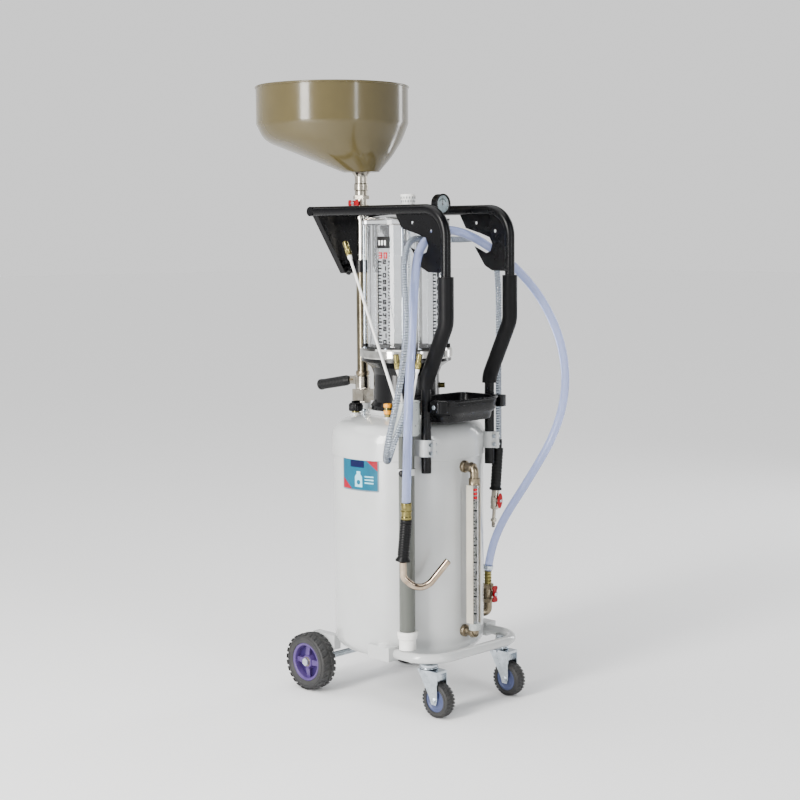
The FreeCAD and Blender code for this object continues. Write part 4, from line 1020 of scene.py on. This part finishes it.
def probes():
    for node, (foot, head, radius) in PROBE_LINES.items():
        long = (Vector(head) - Vector(foot)).length
        top, neck, r = long / MM, long / MM - 38, radius
        stick = lathe([(0, 0), (r, 0, 0.8), (r * 0.85, neck - 12, 1), (r + 1.6, neck - 8, 1),
                       (r + 2.2, neck - 1, 1), (r + 1.6, neck + 1, 0.6), (0, neck + 1)], 40)
        piece(node + "_stick", along(stick, foot, head), "white", node, node)
        sleeve = [(4.2, neck + 19), (6.6, neck + 19), (6.6, neck + 23.5), (7.4, neck + 25), (7.4, top - 2),
                  (6.8, top), (4.2, top)]
        barrel = joined(knurled(0.0042, 0.0075, neck * MM, neck * MM + 0.020),
                        lathe([(r, z, 0.7) for r, z in sleeve], 48, True))
        piece(node + "_coupling", along(barrel, foot, head), "brass", node, node, bevel=0.0002)


def probe_store():
    """Rings of the probe holder, the collar of the bottom cup and the knob of the clamp band."""
    (x, y, _), tube_half = middle("probe_tube")
    centre, half = middle("probe_holder")
    radius, edge = tube_half.x / MM, half.x / MM
    lip = lathe([(edge - 2.2, -4, 1.2), (edge + 1.2, -4, 1.2), (edge + 1.4, 0, 1.2),
                 (edge - 2.2, 0, 1.2)], 80, True)
    base = lathe([(radius, 0, 1), (edge * 0.9, 0, 1), (edge + 0.6, 4, 1), (edge + 0.6, 7, 1),
                  (radius, 7, 1)], 80, True)
    rings = joined(shifted(lip, x, y, centre.z + half.z - 0.0002),
                   shifted(base, x, y, centre.z - half.z - 0.0035))
    piece("holder_rings", rings, "frosted")
    cuff = lathe([(radius, 0, 1.2), (25.2, 0, 1.2), (25.8, 3, 1.2), (25.8, 9, 1.2), (24.5, 11.5, 1.2),
                  (radius, 11.5, 1.2)], 64, True)
    piece("cup_collar", shifted(cuff, x, y, bounds_of("probe_cup")[1].z - 0.012), "white")
    head = lathe([(0, 0), (7.5, 0, 1), (8.5, 3, 1), (8.5, 8, 2), (6, 10.5, 2), (0, 11)], 40)
    knob = joined(rod((0, 0, 0), (0, 0, 0.012), 0.0035), shifted(head, 0, 0, 0.008))
    out = Vector((math.cos(BAND_KNOB_TURN), math.sin(BAND_KNOB_TURN), 0))
    start = Vector((x, y, BAND_KNOB_Z)) + out * (tube_half.x + 0.0015)
    piece("band_knob", along(knob, start, start + out), "plastic")


# ---- level gauge and outlet ---------------------------------------------------------------
def quarter(start, corner, end, radius):
    """Points from one place to another round a corner."""
    return soften([start, corner, end], [0, radius, 0], closed=False, steps=10)


def level_gauge():
    low, high = bounds_of("level_tube")
    x, y, radius = (low.x + high.x) / 2, (low.y + high.y) / 2, (high.x - low.x) / 2
    elbow_low, elbow_high = bounds_of("level_elbows")
    boss = lathe([(0, -8), (15.8, -8, 1), (15.8, 6, 1), (13, 8.5, 2), (0, 8.5)])
    bends, nuts = [], []
    for pipe_z, mouth, side in ((elbow_high.z - 0.018, high.z, 1), (elbow_low.z + 0.014, low.z, -1)):
        line = quarter((x, -SHELL_R + 0.002, pipe_z), (x, y, pipe_z), (x, y, mouth + side * 0.010), 0.03)
        bends += [tube(line, 0.0112, 28), along(boss, (x, -SHELL_R - 0.001, pipe_z), (x, y, pipe_z)),
                  along(collar(10.8, 13.4, -6, 6, 1), line[3], line[4])]
        start, end = sorted((mouth - side * 0.004, mouth + side * 0.014))
        nuts.append(joined(shifted(knurled(0.0108, 0.0146, start, end, 22), x, y)))
    piece("level_elbow_bends", joined(*bends), "bronze", node="level_elbows")
    piece("level_nuts", nuts[0], "bronze", node="level_elbows")
    piece("level_nut_clear", nuts[1], "frosted", node="level_elbows", slot="clear_plastic")
    ticks, pitch, count = [], 0.0088, 34
    for k in range(count):
        z = low.z + 0.030 + k * pitch
        reach, thick = (0.006, 0.0010) if k % 5 else (0.012, 0.0018)
        ticks.append(rectangle(-0.006, -0.006 + reach, z - thick, z + thick))
        if k % 5 == 2:
            ticks += digit_bars(k // 5 + 1, 0.001, z - 0.004, 0.005, 0.008)
    bars = [rectangle(-0.007, 0.007, high.z - drop - 0.006, high.z - drop)
            for drop in (0.012, 0.022, 0.032)]
    for name, outlines, finish in (("level_ticks", ticks, "ink"), ("level_red_marks", bars, "pink")):
        piece(name, wrapped(outlines, radius + 0.0001, 0.0002, math.radians(228), y, 0.002), finish)


def outlet():
    x, y, z = OUTLET_X, OUTLET_Y, OUTLET_PIPE_Z
    share = PIPE_START_R / math.hypot(x, y)
    inner, head = (x * share, y * share, z), bounds_of("outlet_valve")[1].z
    shoulder = lathe([(0, 0), (13.5, 0, 1), (13.5, 12, 1), (10.5, 12)], 40)
    body = lathe([(0, 0), (11.2, 0, 1), (12.5, 5, 3), (14.2, 14, 4), (14.2, 22, 4), (12.5, 31, 3),
                  (11.2, 36, 1), (0, 36)])
    stem_z, barb_z = z + 0.052, z + 0.077
    parts = [tube(quarter(inner, (x, y, z), (x, y, z + 0.030), 0.020), 0.0112, 28),
             along(shoulder, inner, (x, y, z)), nut(0.027, z + 0.027, z + 0.0375, x, y),
             nut(0.027, z + 0.066, barb_z, x, y), shifted(body, x, y, z + 0.034),
             rod((x, y, stem_z), (x, y - 0.0205, stem_z), 0.0068)]
    piece("outlet_body", joined(*parts), "bronze", node="outlet_valve", bevel=0.0006)
    barb = [(0, 0), (9.8, 0)]
    for step in (2, 10.5, 19, 27.5):
        barb += [(8.8, step), (10.4, step + 6), (9, step + 7.5)]
    tip = (head - barb_z) / MM
    piece("outlet_barb", shifted(lathe(barb + [(9, tip), (0, tip)]), x, y, barb_z), "brass",
          node="outlet_valve", smooth=50)
    low, high = bounds_of("outlet_handle")
    face = low.y
    stand = Matrix.Translation((x, face + 0.005, stem_z)) @ FACING_FRONT
    wing = joined(moved(prism(butterfly((high.z - low.z) / 2, 0.0052, 0.0105), -0.001, 0.0032), stand),
                  rod((x, face + 0.001, stem_z), (x, high.y, stem_z), 0.003),
                  rod((x, face + 0.001, stem_z), (x, face + 0.006, stem_z), 0.008))
    piece("outlet_wing", wing, "red", "outlet_tap", "outlet_handle", bevel=0.0009)
    piece("outlet_wing_nut", moved(hexagon(0.0095, 0.0016, 0.0058), stand), "zinc", "outlet_tap",
          bevel=0.0005)


# ---- hand pieces on the hoses ------------------------------------------------------------
def discharge_gun():
    start, end = Vector((-0.197, -0.185, 0.503)), Vector((-0.203, -0.178, 0.398))
    top = Vector(DISCHARGE_ROUTE[-1])
    long = (end - start).length
    outline = [(0, 0), (0.0125, 0), (0.0148, 0.002), (0.0148, 0.008)]
    outline += ribs(0.0135, 0.0149, 0.009, long - 0.022, 13, 0.22, 0.68, 0.92)
    outline += [(0.0140, long - 0.011), (0.0186, long - 0.0045), (0.0188, long - 0.0008), (0.013, long),
                (0, long)]
    grip = piece("discharge_grip_rubber", along(turned(outline, 56, closed=False), start, end), "rubber",
                 node="discharge_grip", smooth=60)
    reach = (top - start).length
    end_z = reach / MM
    sleeve = lathe([(0, 0), (13.8, 0, 1), (13.8, 6, 1), (12.8, 8, 1), (12.8, end_z - 16, 1),
                    (13.8, end_z - 14, 1), (13.8, end_z - 1, 1), (11.5, end_z, 0.5), (0, end_z)], 56)
    bead = turned([(0.0016 * math.sin(a), -0.0016 * math.cos(a))
                   for a in (math.pi * j / 6 for j in range(7))],
                  10, closed=False)
    beads = [shifted(bead, px, py, reach * 0.5) for px, py in disc_outline(0, 0, 0.0132, 22)]
    ferrule = piece("discharge_ferrule", along(joined(sleeve, *beads), start, top), "brass",
                    node="discharge_grip")
    return [grip, ferrule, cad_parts["discharge_spout"]]


GUN_PIVOT = Vector(SUCTION_ROUTE[-1])
GUN_TURN = (Matrix.Translation(GUN_PIVOT) @ Matrix.Rotation(math.radians(5.44), 4, "Y")
            @ Matrix.Translation(-GUN_PIVOT))


def suction_gun():
    """Grip, ferrule, valve and lever of the suction gun, leaning under its hose."""
    x, y, top = GUN_PIVOT
    valve_z = 0.508

    def lean(name, parts, finish, *rest, **more):
        return piece(name, moved(joined(*parts), GUN_TURN), finish, *rest, **more)

    grip = [(0, 0.534), (0.0125, 0.534), (0.0162, 0.5355), (0.0162, 0.540), (0.0135, 0.5425)]
    grip += ribs(0.0131, 0.0140, 0.546, 0.094, 11) + [(0.0138, 0.6415), (0.0132, 0.645), (0, 0.645)]
    rubber = lean("suction_grip_rubber", [shifted(turned(grip, 56, closed=False), x, y)], "rubber",
                  node="suction_grip", smooth=60)
    sleeve = lathe([(0, 644), (9.8, 644, 0.5), (9.8, 660, 1), (8.8, top / MM, 0.5), (0, top / MM)])
    ferrule = lean("suction_ferrule", [shifted(sleeve, x, y)], "plastic", node="suction_grip")
    body = [(0, 484), (8.5, 484), (10, 489), (10, 497), (11.2, 500), (11.2, 516), (10, 519), (10, 534.5),
            (0, 534.5)]
    tip = soften([(x, y, 0.486), (x, y, 0.462), (x, y, 0.450), (x - 0.002, y - 0.002, 0.444),
                  (x - 0.005, y - 0.005, 0.440)], 0.003, closed=False, steps=3)
    lean("suction_valve_body", [
        shifted(lathe([(r, z, 1) for r, z in body]), x, y), nut(0.019, 0.486, 0.494, x, y),
        rod((x, y, valve_z), (x, y - 0.014, valve_z), 0.006), tube(tip, 0.0048, 20),
        shifted(collar(4.6, 7.8, 452, 460, 1, 40), x, y)], "nickel", node="suction_valve", bevel=0.0003)
    oval = [(0.020 * math.cos(t), 0.0078 * math.sin(t) * (1 - 0.12 * math.cos(2 * t))) for t in turns(40)]
    stand = Matrix.Translation((x, y - 0.0162, valve_z)) @ FACING_FRONT
    lean("suction_lever_oval", [moved(prism(oval, 0, 0.0032), stand),
                                rod((x, y - 0.0085, valve_z), (x, y - 0.0185, valve_z), 0.0025)],
         "red", "gun_lever", "suction_lever", bevel=0.0008)
    lean("suction_lever_nut", [moved(hexagon(0.007, 0.0026, 0.0054), stand)], "zinc", "gun_lever",
         bevel=0.0004)
    return [rubber, ferrule]


def coil_along(points, radius, wire, pitch, steps=14):
    """A wire wound round a line of points."""
    points = [Vector(p) for p in points]
    runs = [0.0]
    for a, b in zip(points, points[1:]):
        runs.append(runs[-1] + (b - a).length)
    count = int(runs[-1] / pitch * steps)
    ahead = (points[1] - points[0]).normalized()
    side = ahead.orthogonal().normalized()
    line, index = [], 0
    for k in range(count + 1):
        reach = runs[-1] * k / count
        while index < len(points) - 2 and runs[index + 1] < reach:
            index += 1
        share = (reach - runs[index]) / (runs[index + 1] - runs[index])
        spot = points[index].lerp(points[index + 1], share)
        turn = (points[index + 1] - points[index]).normalized()
        side = (ahead.rotation_difference(turn) @ side).normalized()
        ahead = turn
        angle = 2 * math.pi * k / steps
        line.append(spot + (side * math.cos(angle) + turn.cross(side) * math.sin(angle)) * radius)
    return tube(line, wire, 5)


def hoses():
    discharge = hose("discharge_hose_skin", DISCHARGE_ROUTE, DISCHARGE_D, "hose",
                     "discharge_hose")
    suction = hose("suction_hose_skin", SUCTION_ROUTE, SUCTION_D, "wire hose", "suction_hose")
    coil = coil_along(line_points(SUCTION_ROUTE)[0], SUCTION_D / 2 - 0.0002, 0.0009, 0.0066)
    spring = piece("suction_spring", coil, "spring", smooth=180)
    for obj, route, diameter, pieces in (
            (discharge, DISCHARGE_ROUTE, DISCHARGE_D, discharge_gun()),
            (suction, SUCTION_ROUTE, SUCTION_D, suction_gun() + [spring])):
        line_points(route)[1]


def hose_ends():
    """Clamp on the outlet barb and nut on the pedestal's spigot."""
    start, after = Vector(DISCHARGE_ROUTE[0]), Vector(DISCHARGE_ROUTE[1])
    clamp = along(collar(11.2, 13.2, 0, 10, 0.8), start + (after - start).normalized() * 0.004, after)
    piece("outlet_hose_clamp", clamp, "zinc")
    ring = lathe([(7.8, -12, 0.8), (11.2, -12, 0.8), (11.2, 6, 0.8), (7.8, 8, 0.8)], 48, True)
    piece("inlet_hose_nut", along(ring, SUCTION_ROUTE[0], SUCTION_ROUTE[1]), "brass")


for word in ("left", "right"):
    rear_wheel(word)
    caster(word)
for build in (tank_details, label, bowl_glass, bowl_strips, bowl_details, silencer, gauge, funnel,
              funnel_tap, post_details, panel_bolts, lever, caps, tray, probes, probe_store,
              level_gauge, outlet, hoses, hose_ends):
    build()


# ---- stage ------------------------------------------------------------------------
FLOOR_REACH, FLOOR_GREY, FLOOR_ROUGH = 40, (0.93, 0.93, 0.93, 1), 0.8
SKY = {"From Min": 0.14, "From Max": 0.5, "To Min": 1.1, "To Max": 0.16}
SUN_POWER, SUN_SPREAD, SUN_TILT = 3.0, math.radians(70), (math.radians(-14), math.radians(-10), 0)
LAMPS = {
    "key": ((-4.0, -0.2, 1.9), 0.9, 3.6, 380, (1.0, 0.985, 0.96)),
    "fill": ((-0.6, -4.3, 1.9), 0.35, 3.6, 60, (0.95, 0.98, 1.0)),
    "rim": ((3.9, -0.4, 2.0), 0.6, 3.4, 60, (0.97, 0.98, 1.0)),
}
LAMP_AIM = Vector((0, 0, 0.85))
AZIMUTH, PITCH, ROLL = math.radians(-45.2), math.radians(5.92), math.radians(-0.37)
DISTANCE, OFFSET, HEIGHT, SENSOR, FOCAL = 4.123, 0.0213, 1.197, 36, 71.55


def floor():
    mesh = bpy.data.meshes.new("floor")
    corners = rectangle(-FLOOR_REACH, FLOOR_REACH, -FLOOR_REACH, FLOOR_REACH)
    mesh.from_pydata([(x, y, 0) for x, y in corners], [], [(0, 1, 2, 3)])
    obj = placed("floor", mesh)
    pale = bpy.data.materials.new("pale floor")
    pale.use_nodes = True
    shader = pale.node_tree.nodes["Principled BSDF"]
    shader.inputs["Base Color"].default_value = FLOOR_GREY
    shader.inputs["Roughness"].default_value = FLOOR_ROUGH
    mesh.materials.append(pale)


def sky():
    """A white world, bright along the horizon and dim overhead."""
    world = bpy.data.worlds.new("studio")
    world.use_nodes = True
    tree = world.node_tree
    split = tree.nodes.new("ShaderNodeSeparateXYZ")
    glow = tree.nodes.new("ShaderNodeMapRange")
    for key, value in SKY.items():
        glow.inputs[key].default_value = value
    tree.links.new(tree.nodes.new("ShaderNodeTexCoord").outputs["Generated"], split.inputs[0])
    tree.links.new(split.outputs["Z"], glow.inputs["Value"])
    tree.links.new(glow.outputs["Result"], tree.nodes["Background"].inputs["Strength"])
    tree.nodes["Background"].inputs["Color"].default_value = (1.0, 1.0, 1.0, 1)
    bpy.context.scene.world = world


def lamps():
    """A broad sun overhead and three upright softboxes aimed at the middle of the unit."""
    sun = bpy.data.lights.new("overhead", "SUN")
    sun.energy, sun.angle = SUN_POWER, SUN_SPREAD
    placed("overhead", sun).rotation_euler = SUN_TILT
    for name, (place, wide, tall, power, tone) in LAMPS.items():
        data = bpy.data.lights.new(name, "AREA")
        data.shape = "RECTANGLE"
        data.size, data.size_y, data.energy, data.color = wide, tall, power, tone
        lamp = placed(name, data)
        lamp.location = Vector(place) + SHIFT
        lamp.rotation_euler = (LAMP_AIM - Vector(place)).to_track_quat("-Z", "Y").to_euler()


def camera():
    back = Vector((math.sin(AZIMUTH), -math.cos(AZIMUTH), 0))
    right = Vector((math.cos(AZIMUTH), math.sin(AZIMUTH), 0))
    ahead = -back * math.cos(PITCH) - Vector((0, 0, math.sin(PITCH)))
    up = right.cross(ahead)
    side = right * math.cos(ROLL) + up * math.sin(ROLL)
    top = -right * math.sin(ROLL) + up * math.cos(ROLL)
    place = back * DISTANCE - right * OFFSET + Vector((0, 0, HEIGHT)) + SHIFT
    data = bpy.data.cameras.new("camera")
    data.lens, data.sensor_width = FOCAL, SENSOR
    obj = placed("camera", data)
    obj.matrix_world = Matrix.Translation(place) @ Matrix((side, top, -ahead)).transposed().to_4x4()
    bpy.context.scene.camera = obj


floor()
sky()
lamps()
camera()
